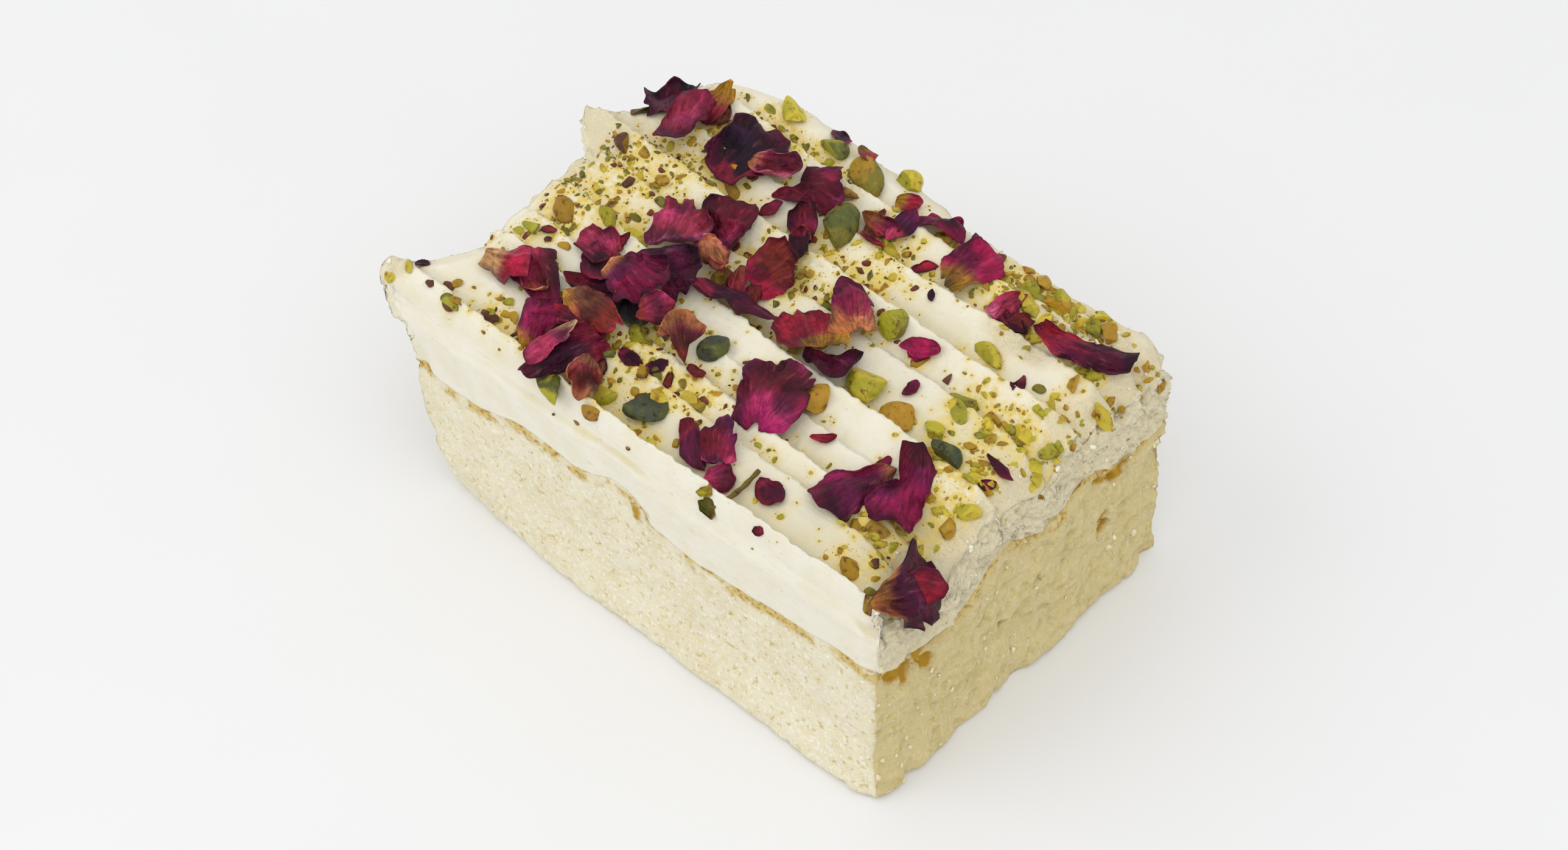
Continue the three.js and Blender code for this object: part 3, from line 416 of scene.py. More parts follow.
def make_sponge():
    columns, rows, levels = SPONGE_GRID
    places, faces = block(columns, rows, levels, (6, 6))
    i, j, k = places.T
    u, v, share = i / columns, j / rows, k / levels
    z = SPONGE_TOP * share
    for _ in range(3):
        x, y = plan_at(u, v, z)
        z = sponge_top(x, y) * share
    shrink = 1 - 2 * FOOT_EASE * (1 - smooth(z, 0, 1.2)) / WIDTH
    points = np.stack([x * shrink, y * shrink, z], 1)
    mesh = new_mesh("sponge_crumb", points, faces)
    normals = normals_of(mesh)
    below = sponge_top(x, y) - z
    wall = (i == 0) | (i == columns) | (j == 0) | (j == rows)
    free = wall * smooth(below, 0, 1)
    # The look paints the faces turned this way a darker yellow: partly the torn crumb's own colour,
    # partly painted shade.
    torn = smooth(normals[:, 0], 0.3, 0.8) + 0.5 * smooth(-normals[:, 0], 0.3, 0.8)
    torn += 0.4 * smooth(normals[:, 1], 0.3, 0.8)
    crumb = fractal(points, 1.7, 3, 4)
    grain = grains(points, 1.0, 4)
    bubble = smooth(grains(points, 2.7, 5), 0.34, 0.16)
    speck = smooth(grains(points, 2.1, 6), 0.3, 0.14)
    pit = np.zeros(len(points))
    ragged = 1 + 0.5 * noise(points, 1.3, 8)
    for pit_y, pit_z, reach in PITS:
        away = np.hypot(y - pit_y, z - pit_z) * ragged
        pit = np.maximum(pit, smooth(away, reach, 0.45 * reach) * (x > 0))
    relief = 0.24 * crumb + 0.22 * (0.5 - grain) - 0.5 * bubble + 0.22 * speck
    torn_off = 1.3 * fractal(points, 5, 9) + 0.5 * ridges(points * [1, 1, 1.5], 3.4, 13, 0.4)
    relief = relief * (0.6 + 0.6 * torn) + torn * torn_off - PIT_DEPTH * pit * torn
    crust = wall * smooth(below, 1.3, 0.2)
    level = normals * [1, 1, 0] + normals * [0, 0, 1] * smooth(z, 0.5, 2)[:, None]
    points = points + level * (free * relief + 0.3 * crust * fractal(points, 1.5, 11))[:, None]
    points[:, 2] = np.where(k > 0, np.maximum(points[:, 2], 0.01), 0)
    move_points(mesh, points)
    give(mesh, "below", np.where(wall, below, 0.2))
    give(mesh, "hole", np.clip(bubble + 0.6 * smooth(grain, 0.55, 0.8), 0, 1))
    pocket = hump(x - POCKET_X, 1.3) * hump(below - POCKET_BELOW, 2.4) * (j == 0)
    give(mesh, "pit", np.maximum(pit * torn, 0.85 * pocket))
    give(mesh, "torn", torn)
    loose = wall * (0.15 + torn) * smooth(noise(points, 4, 12), -0.3, 0.6) * smooth(below, 0.2, 1.5)
    return mesh, points, loose * smooth(z, 0, 1)


# ---- Cream ----

# x, y, both reaches and strength of the places where the cream's top is rough and torn.
TORN_PATCHES = [
    (52, -30, 6, 8, 0.9), (52, -8, 5, 12, 1), (51, 22, 6, 14, 1), (38, 31, 16, 5, 1),
    (30, 20.5, 9, 3.5, 0.9), (-52, 8, 6, 16, 0.8), (-50, 34, 8, 8, 0.6), (47, -32, 4, 3, 0.6),
    (12, 36, 18, 2.5, 0.5), (-20, 38, 14, 3, 0.5), (-58, -31, 5, 6, 1.1), (-57, 14, 6, 6, 1.1),
    (47, 14, 6, 7, 0.8), (24, 31, 8, 4, 0.6),
]
CREAM_GRID = 250, len(LINES) - 1, 46
END_TIPS = 50  # how far left of the middle the drawn-out tips begin


def make_cream():
    columns, rows, levels = CREAM_GRID
    places, faces = block(columns, rows, levels, (6, 1))
    i, j, k = places.T
    u, share = i / columns, k / levels
    edge = CREAM_TOP - SHOULDER
    inset = EASE * smooth(share, 0.6, 1) ** 2
    x = plan_at(u, 0.5, edge)[0]
    y, top = cream_line(x, near_wall(x, edge) + inset, far_wall(x, edge) - inset, j)
    from_end = np.minimum(x - x.min(), x.max() - x)
    top = top - END_FALL * (1 - smooth(from_end, 0, END_REACH))
    across, z = x, top
    for _ in range(3):
        z = lerp(sponge_top(across, y) - 0.1, top, share)
        across = lerp(left_wall(y, z) + inset, right_wall(y, z) - inset, u)
    points = np.stack([across, y, z], 1)
    mesh = new_mesh("cream_top", points, faces)
    normals = normals_of(mesh)
    x, y, z = points.T
    free = smooth(share, 0, 0.06)
    # How far each point faces the rough cut end, the far side or the left end, and the sky.
    end = smooth(normals[:, 0], 0.3, 0.75)
    back = np.maximum(smooth(normals[:, 1], 0.6, 0.9), smooth(-normals[:, 0], 0.4, 0.8))
    upward = smooth(normals[:, 2], 0.3, 0.7)
    torn = np.zeros(len(points))
    for patch_x, patch_y, reach_x, reach_y, strength in TORN_PATCHES:
        away = hump(x - patch_x, reach_x) * hump(y - patch_y, reach_y)
        torn = np.maximum(torn, strength * away)
    torn = smooth(torn + 0.25 * fractal(points, 4, 21), 0.25, 0.75) * upward
    along = points * [0.07, 1, 1]
    streaks = 0.08 * noise(along, 0.5, 22) + 0.3 * (0.4 - np.abs(noise(along, 2.0, 23)))
    streaks += 0.05 * fractal(points, 0.9, 20)
    swell = 0.1 * fractal(points * [0.35, 1, 1], 3.2, 24)
    clots = 0.9 * fractal(points, 2.8, 25, 4) + 0.7 * (0.45 - grains(points, 1.3, 26))
    bubble = smooth(grains(points, 5.2, 27), 0.12, 0.05)
    knife = 0.06 * noise(points * [0.15, 1, 1], 1.1, 28) + 0.05 * fractal(points, 2, 29)
    rough = 1.1 * fractal(points, 2.4, 30, 4) + 1.3 * (0.45 - grains(points, 1.3, 31))
    rough += 0.7 * ridges(points * [1, 1, 1.6], 1.6, 33, 0.5)
    knife += 0.7 * rough * smooth(-x, END_TIPS, END_TIPS + 10)
    relief = upward * (streaks + swell - 0.2 * bubble) + torn * clots
    relief += (1 - upward) * (1 - end) * (1 - back) * (knife - 0.35 * bubble)
    on_top = k == levels
    relief += (end + 0.8 * back) * rough * ~on_top
    # The top moves straight up and down, so that its steep lips never cross.
    outward = np.where(on_top[:, None], [0, 0, 1], normals)
    points = points + outward * (free * relief)[:, None]
    move_points(mesh, points)
    rough_places = np.clip(torn + end + 0.8 * back, 0, 1)
    # The look paints these places warmer and lighter: partly the torn cream's own tone, partly painted
    # warm light, with painted shade in their crevices.
    give(mesh, "torn", rough_places)
    give(mesh, "upward", upward)
    # valley: how low each place on the top lies. The look paints it darker there: painted shade in the
    # valleys between the strokes, with a little of the nut dust's yellow.
    give(mesh, "valley", np.clip((CREAM_TOP + 0.6 - points[:, 2]) / 3.2, 0, 1) * upward * (1 - torn))
    loose = rough_places * smooth(noise(points, 3, 32), -0.4, 0.5) * smooth(share, 0.05, 0.2)
    return mesh, points, faces, loose * (0.3 + 0.7 * smooth(points[:, 2], 36, 42))


SKY = 90  # a height above everything
UP = np.array([0, 0, 1.0])


class Ground:
    """The top of the cream, seen from straight above."""

    def __init__(self, points, faces):
        self.tree = BVHTree.FromPolygons(points.tolist(), faces)

    def height(self, x, y):
        hit = self.tree.ray_cast(Vector((x, y, SKY)), Vector((0, 0, -1)))[0]
        return hit.z if hit else None

    def lie(self, x, y, reach):
        """The height of a place and the direction square to the ground around it."""
        middle = self.height(x, y)
        steps = polar(reach, np.arange(8) * math.pi / 4)[:, :2]
        heights = [self.height(x + dx, y + dy) for dx, dy in steps]
        hit = np.array([height is not None for height in heights])
        if middle is None or hit.sum() < 3:
            return middle, UP
        rises = np.array(heights)[hit].astype(float) - middle
        slope = np.linalg.lstsq(steps[hit], rises, rcond=None)[0]
        up = np.array([*-slope, 1])
        return middle, up / np.linalg.norm(up)


def axes_on(up, along):
    across = np.cross(up, along)
    across /= np.linalg.norm(across)
    return np.stack([np.cross(across, up), across, up], 1)


def axes(turn, up):
    """A turn that takes +X to a heading on ground that faces up."""
    return axes_on(up, np.array([math.cos(math.radians(turn)), math.sin(math.radians(turn)), 0]))


class Heap:
    """Many small meshes that make one piece, with a colour and a place in the grain for each point."""

    def __init__(self):
        self.points, self.faces, self.colours, self.flows = [], [], [], []
        self.count = 0

    def add(self, points, faces, colours, flow=None):
        self.points.append(points)
        self.faces.append(faces + self.count)
        self.colours.append(np.broadcast_to(colours, points.shape))
        self.flows.append(points if flow is None else flow)
        self.count += len(points)

    def mesh(self, name):
        mesh = new_mesh(name, np.concatenate(self.points), np.concatenate(self.faces).tolist())
        give(mesh, "tint", np.concatenate(self.colours))
        give(mesh, "flow", np.concatenate(self.flows))
        return mesh


# ---- Petals ----

COLOURS = {name: srgb(code) for name, code in {
    "ink": "2a1022", "plum": "54082e", "dark": "38061c", "wine": "700e28", "berry": "8a0e44",
    "bright": "ae1452", "rose": "a42e4c", "ruby": "ae1c38", "russet": "842e24", "tan": "ac6c44",
    "amber": "b88a1c", "peach": "c87c44", "pale": "dcb078", "pink": "cc6484", "brown": "5c3014",
    "forest": "545a1c", "olive": "7c7216", "lime": "a39c1c", "lemon": "ccb834", "ochre": "a98414",
    "slate": "3c4430", "cream": "f6f1de", "butter": "e2d6a4", "crumb": "eee4be",
}.items()}


def petal(long, wide, turn, body, rim, foot, reach=0.25, sides=0, ends=0, egg=0.1, square=2,
          rag=0.08, marks=(), curl=0.4, pleat=0.4, corners=(), shift=(0, 0)):
    """A petal's length, width and turn, its three colours and how far the foot's colour reaches, then
    how its solid is bent and cut: the degrees that its sides and ends bend through, how egg-shaped,
    square and ragged it is, and the bearing, share and spread of its notches and tips. The rest is
    what only its dressed form has: how far its rim curls up, how deep its pleats are, the corners of
    its rim where they show well, each a bearing from the right of the view and a reach, and how far
    it lies from its solid."""
    return dict(locals())


PETALS = [
    petal(13, 9, 130, "plum", "ink", "plum", sides=30, ends=-25, marks=[(25, 0.25, 10)]),
    petal(13, 8.5, 118, "rose", "wine", "plum", sides=-45, ends=10, corners=[(46, 6.2), (90, 3.6),
          (200, 3.4), (226, 7.1), (272, 8), (298, 5.8), (322, 3.8), (22, 5.8)]),
    petal(17, 13.5, 100, "ink", "plum", "wine", 0.2, sides=25, ends=15, square=2.8, rag=0.06,
          corners=[(76, 7.4), (102, 6.4), (110, 5.2), (159, 5), (192, 7), (236, 7.6), (256, 8.8),
          (322, 8), (11, 7.2), (40, 6.6), (49, 5.2)]),
    petal(14.5, 9.5, 12, "wine", "plum", "wine", sides=-35, ends=-20, marks=[(95, 0.3, 16)],
          corners=[(160, 4.6), (184, 7.4), (228, 5.2), (287, 7), (308, 7.2), (29, 5), (97, 3)]),
    petal(8, 6, 20, "wine", "pink", "tan", sides=70, curl=1.2),
    petal(9.5, 4.5, -50, "wine", "dark", "wine", sides=60),
    petal(9, 3.2, -52, "dark", "ink", "wine", sides=80),
    petal(11, 8, 75, "russet", "wine", "ruby", 0.2, sides=40, ends=20, corners=[(102, 3.9), (65, 5.4),
          (11, 4), (304, 5.6), (250, 6.2), (206, 5.4), (162, 4.5)]),
    petal(12, 11, 110, "wine", "ink", "plum", sides=-40, ends=-30, corners=[(111, 5.7), (77, 5.6),
          (33, 5.5), (6, 5.6), (307, 6.1), (272, 7.4), (213, 4), (135, 4.4)]),
    petal(14.5, 11.5, 112, "rose", "wine", "pink", 0.45, sides=-30, ends=20, egg=0.2,
          marks=[(38, 0.25, 16)], pleat=0.5, corners=[(105, 7.8), (66, 6.6), (54, 4.6), (32, 6.4),
          (338, 6.6), (298, 7.4), (239, 7.2), (200, 5.6), (146, 5.2), (120, 4.9)]),
    petal(16, 7, 8, "plum", "dark", "wine", sides=-50, ends=-15, egg=-0.2, corners=[(136, 5.6),
          (156, 8.2), (185, 6.6), (219, 4.1), (307, 7.2), (322, 8.8), (340, 6.2), (95, 2.8)]),
    petal(12, 10, 60, "plum", "ink", "plum", sides=-30, ends=-20, corners=[(169, 5), (121, 3.4),
          (17, 6.2), (344, 6.4), (296, 7.2), (266, 8), (215, 6)]),
    petal(8.5, 8, -45, "ink", "slate", "plum", sides=40),
    petal(14, 9, -8, "berry", "plum", "peach", 0.3, sides=-40, ends=-15, corners=[(164, 5), (125, 5.6),
          (85, 3.8), (20, 7), (330, 7), (272, 6.4), (227, 5)]),
    petal(6.5, 3.6, -15, "tan", "russet", "peach", sides=-120, ends=-30, curl=1.5, pleat=0.8,
          corners=[(170, 4.4), (120, 3), (70, 3.4), (10, 5), (320, 3.4), (290, 5.6), (250, 2.6),
          (220, 5)], shift=(1, -1.2)),
    petal(9, 6.5, 170, "rose", "wine", "russet", sides=35, marks=[(-20, -0.2, 12)],
          corners=[(187, 3.4), (130, 3.7), (96, 4.2), (70, 2.8), (45, 4), (350, 4.2), (308, 5.2),
          (265, 5)]),
    petal(14, 6.5, -32, "wine", "plum", "ruby", sides=-30, ends=-30, corners=[(123, 4.6), (50, 5),
          (345, 3.8), (303, 8), (276, 7.2), (262, 5), (200, 4)]),
    petal(10.5, 8, 10, "ruby", "rose", "pale", 0.45, sides=-35, ends=20, pleat=0.6, corners=[(177, 5),
          (134, 4.2), (48, 3.8), (4, 4.4), (317, 5), (260, 3.8), (220, 2.6)]),
    petal(11.5, 7.5, 118, "berry", "plum", "amber", 0.4, sides=-45, ends=-25, corners=[(117, 3.8),
          (44, 5.2), (352, 4.6), (278, 7.6), (250, 7.6), (191, 3.6)]),
    petal(9, 5, 0, "wine", "plum", "ruby", sides=-40),
    petal(13, 8, -110, "plum", "dark", "wine", sides=-45, ends=-20, egg=-0.2, corners=[(209, 7.4),
          (260, 5.6), (337, 5.8), (12, 7), (56, 6), (100, 5.2)]),
    petal(12, 4, -95, "rose", "wine", "pale", 0.25, sides=-90, ends=-20),
    petal(12.5, 5.5, 0, "russet", "ruby", "ochre", 0.5, sides=-70, ends=-20, curl=0.8,
          corners=[(144, 5.6), (104, 3), (20, 3), (348, 3.6), (312, 7.6), (288, 5.8), (234, 4),
          (173, 4.8)]),
    petal(8, 6, -60, "russet", "tan", "tan", sides=-40, egg=-0.2, curl=1, pleat=0.7),
    petal(5.5, 5, 60, "rose", "wine", "russet", sides=-40),
    petal(8, 6, 140, "tan", "peach", "russet", 0.4, sides=-40, egg=0.35, rag=0.1, pleat=0.9,
          corners=[(203, 4.2), (150, 2.6), (90, 2.4), (30, 2.8), (0, 4.4), (330, 3.6), (292, 3.4),
          (276, 6.4), (262, 4.4), (236, 3)]),
    petal(9.5, 8, -20, "plum", "dark", "wine", sides=30, corners=[(152, 4.8), (27, 4), (353, 5),
          (278, 5.8), (237, 4.4), (185, 4.6)]),
    petal(13, 10, 150, "ruby", "wine", "amber", 0.25, sides=-35, ends=-20, marks=[(-50, 0.2, 18)],
          corners=[(130, 6.2), (71, 6.6), (20, 5.6), (330, 8.2), (302, 7.2), (276, 5), (218, 5.6),
          (173, 6.2)]),
    petal(14.5, 7.5, 140, "berry", "plum", "peach", 0.45, sides=-70, ends=-20, egg=-0.15, pleat=0.6,
          corners=[(98, 7), (67, 5.2), (5, 3.8), (306, 6.6), (269, 6.8), (234, 6.6), (190, 3),
          (120, 4.8)]),
    petal(12.5, 12, 110, "wine", "plum", "berry", sides=-25, ends=-25, square=2.4, corners=[(111, 7.6),
          (82, 6.6), (42, 6.2), (4, 6.4), (320, 6.5), (277, 7.6), (234, 7), (204, 8), (186, 5.9),
          (141, 6.4)]),
    petal(9.5, 3.8, -42, "plum", "dark", "wine", sides=-40),
    petal(12.5, 5.5, 128, "wine", "plum", "rose", sides=-40, curl=0.8),
    petal(12.5, 7, -112, "berry", "plum", "tan", 0.15, sides=-35, egg=0.15, square=2.6, curl=0.2,
          pleat=0.2, corners=[(187, 6.8), (164, 4.4), (42, 5.2), (21, 6.8), (355, 5.2), (281, 4.6),
          (261, 7), (223, 6.4)]),
    petal(14, 9.5, -65, "berry", "plum", "wine", 0.2, sides=-30, egg=0.35, square=2.8, curl=0.2,
          pleat=0.2, corners=[(93, 7.8), (70, 8), (40, 5.6), (301, 4.4), (271, 8.8), (213, 6.2),
          (188, 6.4), (140, 3), (115, 3)]),
    petal(14, 12.5, 60, "plum", "dark", "amber", 0.3, sides=30, ends=-30, square=2.6,
          marks=[(5, -0.45, 14), (38, 0.2, 12), (-35, 0.12, 14)], curl=-0.3, pleat=0.1,
          corners=[(83, 6.9), (134, 3.2), (200, 6.6), (230, 6.3), (300, 6.6), (352, 9.4), (7, 11.4),
          (25, 10.2), (48, 7.4)]),
    petal(12, 8, 85, "bright", "berry", "amber", 0.35, sides=-40, rag=0.07, pleat=0.5,
          corners=[(74, 5.6), (29, 5.4), (337, 5.6), (314, 4.4), (243, 6), (215, 6), (164, 4.8),
          (113, 4.2)]),
    petal(7.5, 4, 100, "plum", "dark", "rose", sides=-60),
    petal(9, 6.5, -10, "plum", "berry", "berry", sides=-80, ends=-30, corners=[(157, 5.2), (106, 4.2),
          (21, 4.4), (308, 4.6), (252, 3), (190, 4.2)]),
    petal(17, 6, 17, "plum", "dark", "ruby", 0.35, sides=-70, ends=10, square=2.6, curl=0.5,
          pleat=0.2, corners=[(158, 9.4), (141, 7.6), (106, 3.8), (352, 7.8), (320, 8), (286, 4.6),
          (200, 3.8), (182, 6.8)]),
]

# Torn petals that lie loose between the others: x, y and height above the cream, then the petal.
# The two green ones at the stalk are its sepals.
LOOSE = [
    (-29.3, -16.3, 2.4, petal(8, 6, 20, "plum", "dark", "wine", curl=0.8)),
    (-32.2, -11.7, 1.4, petal(8, 4.5, -30, "dark", "wine", "plum", curl=0.9)),
    (-18.4, 2.6, 3.4, petal(6.5, 3.2, -20, "tan", "russet", "peach", curl=1.6, pleat=1)),
    (-15.2, -0.6, 2.4, petal(3.4, 2.6, 40, "amber", "russet", "tan", curl=0.6)),
    (-12.8, 1.7, 1.6, petal(6, 3.2, -60, "russet", "wine", "tan", curl=1.2, pleat=0.8)),
    (-9, 0.8, 1.2, petal(5, 3, -50, "russet", "wine", "wine", curl=1)),
    (-11.7, 16.3, 2.2, petal(5, 1.9, -25, "peach", "russet", "tan", curl=1.4)),
    (-43.2, 29.1, 1.4, petal(8, 4.6, -80, "ruby", "russet", "amber", 0.6, curl=0.6)),
    (-53.1, 21.5, 0.6, petal(7, 3.6, -70, "olive", "brown", "ochre", 0.5, curl=0.4)),
    (-16.6, 37.6, 1.8, petal(5, 3, -20, "ruby", "russet", "amber", 0.6, curl=0.5)),
    (-4, 33.5, 1, petal(4.6, 3, 20, "ruby", "rose", "amber", 0.5, curl=0.6)),
    (-3.3, 25.9, 1.6, petal(8.6, 3.4, 0, "rose", "plum", "peach", 0.5, curl=1.3, pleat=0.8)),
    (23.7, 25.6, 1, petal(7, 4, 60, "rose", "ruby", "pink", curl=0.6)),
    (26.9, 23.6, 0.6, petal(7.4, 2.6, -10, "wine", "dark", "russet", curl=1)),
    (19.9, 8.8, 1, petal(6.4, 3.2, 20, "bright", "berry", "berry", curl=1)),
    (35.8, 13.6, 0.6, petal(6.4, 1.9, -85, "wine", "dark", "russet", curl=1)),
    (10.1, 34.1, 0.5, petal(5.2, 1.6, -60, "dark", "ink", "dark", curl=1)),
    (-36.5, -21.6, 1.6, petal(6.5, 3.4, -10, "russet", "tan", "tan", curl=1, pleat=0.8)),
    (-22.6, -9.8, 1.2, petal(6, 3.6, 10, "dark", "ink", "wine", curl=0.8)),
    (-20.5, 17.5, 0.8, petal(4, 2.2, 60, "wine", "dark", "dark", curl=0.8)),
    (14.8, -35.2, 0.5, petal(4, 1.7, 150, "olive", "forest", "lime", curl=1.4)),
    (14.2, -34.6, 0.6, petal(3, 1.5, 200, "lime", "olive", "lemon", curl=1.2)),
    (-2.6, 22.4, 1.2, petal(6.5, 2.2, -20, "wine", "ruby", "tan", curl=1.2)),
    (49.2, -24, 4.2, petal(8, 4.8, 25, "ruby", "plum", "wine", curl=1.2)),
    (47.4, -33.6, 0.3, petal(3.4, 1.6, 60, "amber", "russet", "lemon", curl=0.8)),
]
SMALL_PETAL = 9.6  # length below which a solid petal has fewer corners
SOLID_THICK = 0.5
CLEAR = 0.2  # from the cream up to the middle of a petal's thickness
# Spokes, rings and thickness of a petal's sheet, and how much thinner it is at the rim.
WHOLE, SCRAP = (96, 18, 0.34, 0.2), (44, 9, 0.32, 0.18)
CURL_FROM = 0.6  # share of the radius at which the rim begins to curl
FOLD, CREASE = 1.05, 0.46  # height of a petal's large and small folds
SPREAD = 1.1  # how many times farther a corner reaches before its rim curls up
GROW = 1.16  # the same for the rim of a petal that has no corners of its own
FIRST_SCRAP = 60  # seed of the first scrap
DRY = ("russet", "tan")
DEEP = ("ink", "plum", "wine", "dark")


def petal_rim(shape, angle, seed):
    along = np.abs(2 * np.cos(angle) / shape["long"]) ** shape["square"]
    across = np.abs(2 * np.sin(angle) / shape["wide"]) ** shape["square"]
    radius = (along + across) ** (-1 / shape["square"])
    radius = radius * (1 + shape["rag"] * uneven(angle * 9, seed))
    for at, share, spread in shape["marks"]:
        off = np.angle(np.exp(1j * (angle - math.radians(at))))
        radius = radius * (1 + share * hump(off, math.radians(spread)))
    return radius * (1 + shape["egg"] * np.abs(np.sin(angle)) * np.cos(angle))


def corners_of(shape, angle, radius, draw):
    """The bearings and reaches of a dried petal's corners, in its own axes."""
    if shape["corners"]:
        bearings, reach = np.array(shape["corners"], float).T * [[1], [SPREAD]]
        turns = np.radians(bearings + AZIMUTH - shape["turn"]) % (2 * np.pi)
        order = turns.argsort()
        return turns[order], reach[order]
    count = draw.integers(5, 9)
    turns = np.sort((np.arange(count) + draw.uniform(-0.33, 0.33, count)) * 2 * np.pi / count)
    reach = np.interp(turns % (2 * np.pi), angle, radius, period=2 * np.pi)
    return turns, GROW * reach * draw.uniform(0.98, 1.14, count)


def torn_rim(shape, angle, seed):
    """A dried petal's outline: nearly straight between corners, with a notch here and there."""
    draw = np.random.default_rng(300 + seed)
    radius = petal_rim(shape, angle, seed)
    turns, reach = corners_of(shape, angle, radius, draw)
    count = len(turns)
    turns = np.append(turns, turns[0] + 2 * np.pi)
    corners = np.append(reach, reach[0]) * np.exp(1j * turns)
    side = np.searchsorted(turns, turns[0] + (angle - turns[0]) % (2 * np.pi), "right") - 1
    start, stop = corners[side.clip(0, count - 1)], corners[side.clip(0, count - 1) + 1]
    spoke = np.exp(1j * angle)
    straight = np.imag(np.conj(start) * stop) / np.imag(np.conj(spoke) * (stop - start))
    rim = polar(straight, angle, seed * 5.3)
    notch = 0.2 * smooth(noise(rim, 1.7, 66), 0.4, 0.75)
    uneven_share = 0.06 * noise(rim, 2.4, 62) + 0.03 * noise(rim, 0.8, 65) - notch
    rounded = straight if shape["corners"] else lerp(GROW * radius, straight, 0.7)
    return rounded * (1 + uneven_share)


def arc(distance, bend):
    if not bend:
        return distance, 0 * distance
    return np.sin(bend * distance) / bend, (1 - np.cos(bend * distance)) / bend


def sheet_faces(spokes, rings):
    """The upper faces of a sheet of rings of points around a middle one, which is the first."""
    here = np.arange(spokes)
    there = (here + 1) % spokes
    faces = [np.stack([0 * here, 1 + here, 1 + there], 1)]
    for ring in range(rings - 1):
        a, b = 1 + ring * spokes, 1 + (ring + 1) * spokes
        faces.append(np.stack([a + here, b + here, b + there], 1))
        faces.append(np.stack([a + here, b + there, a + there], 1))
    return np.concatenate(faces)


def thickened(middle, faces, spokes, thick):
    """A closed skin at half the thickness on either side of a sheet."""
    sides = middle[faces]
    crosses = np.cross(sides[:, 1] - sides[:, 0], sides[:, 2] - sides[:, 0])
    normals = np.zeros_like(middle)
    for corner in range(3):
        np.add.at(normals, faces[:, corner], crosses)
    normals /= np.linalg.norm(normals, axis=1)[:, None]
    offset = normals * (np.broadcast_to(thick, len(middle)) / 2)[:, None]
    under = len(middle)
    rim = under - spokes + np.arange(spokes)
    after = under - spokes + (np.arange(spokes) + 1) % spokes
    edge = [np.stack([rim, under + rim, under + after], 1), np.stack([rim, under + after, after], 1)]
    all_faces = np.concatenate([faces, under + faces[:, [0, 2, 1]], *edge])
    return np.concatenate([middle + offset, middle - offset]), all_faces


def polar_grid(spokes, shares):
    """Angle and share of the radius of a middle point and of rings around it."""
    angle = np.concatenate([[0], np.tile(np.arange(spokes) * 2 * np.pi / spokes, len(shares))])
    return angle, np.concatenate([[0], np.repeat(shares, spokes)])


def bent(shape, radius, angle):
    """Points of a flat petal once it is bent along and across, in its own axes, its tip along +X."""
    x, x_rise = arc(radius * np.cos(angle), math.radians(shape["ends"]) / shape["long"])
    y, y_rise = arc(radius * np.sin(angle), math.radians(shape["sides"]) / shape["wide"])
    return np.stack([x, y, x_rise + y_rise], 1)


def coarse_petal(shape, seed):
    """The petal's solid as it was made, in its own axes."""
    few = 9 if shape["long"] < SMALL_PETAL else 13
    angle, share = polar_grid(few, [0.58, 1])
    middle = bent(shape, share * petal_rim(shape, angle, seed), angle)
    middle[:, 2] += 0.35 * share ** 2 * uneven(angle * 6, seed + 50)
    return thickened(middle, sheet_faces(few, 2), few, SOLID_THICK)[0]


LEANS = -0.35, 0, 0.35  # of the starts from which a petal is fitted to its node
FIT_ROUNDS = 14


def pose_on(node, points, turn):
    """The turn and shift that lay these points on a node's own, from the closest of several fits."""
    goal = np.array([v.co[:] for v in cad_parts[node].data.vertices]) / MM
    goal = np.unique(goal.round(4), axis=0)
    least, best = np.inf, None
    for lean in itertools.product(LEANS, repeat=2):
        up = np.array([*lean, 1]) / math.hypot(*lean, 1)
        spin = axes(turn, up)
        shift = goal.mean(0) - spin @ points.mean(0)
        for _ in range(FIT_ROUNDS):
            laid = points @ spin.T + shift
            apart = ((laid[:, None] - goal[None]) ** 2).sum(2)
            nearest = goal[apart.argmin(1)]
            middle, aim = points.mean(0), nearest.mean(0)
            u, _, v = np.linalg.svd((points - middle).T @ (nearest - aim))
            flip = np.diag([1, 1, np.sign(np.linalg.det(v.T @ u.T))])
            spin = v.T @ flip @ u.T
            shift = aim - spin @ middle
        error = apart.min(1).mean()
        if error < least:
            least, best = error, (spin, shift)
    return best


def around(angle, size, seed):
    """Noise that runs round a rim and closes on itself."""
    return noise(polar(1, angle, seed * 3.1), size, 74)


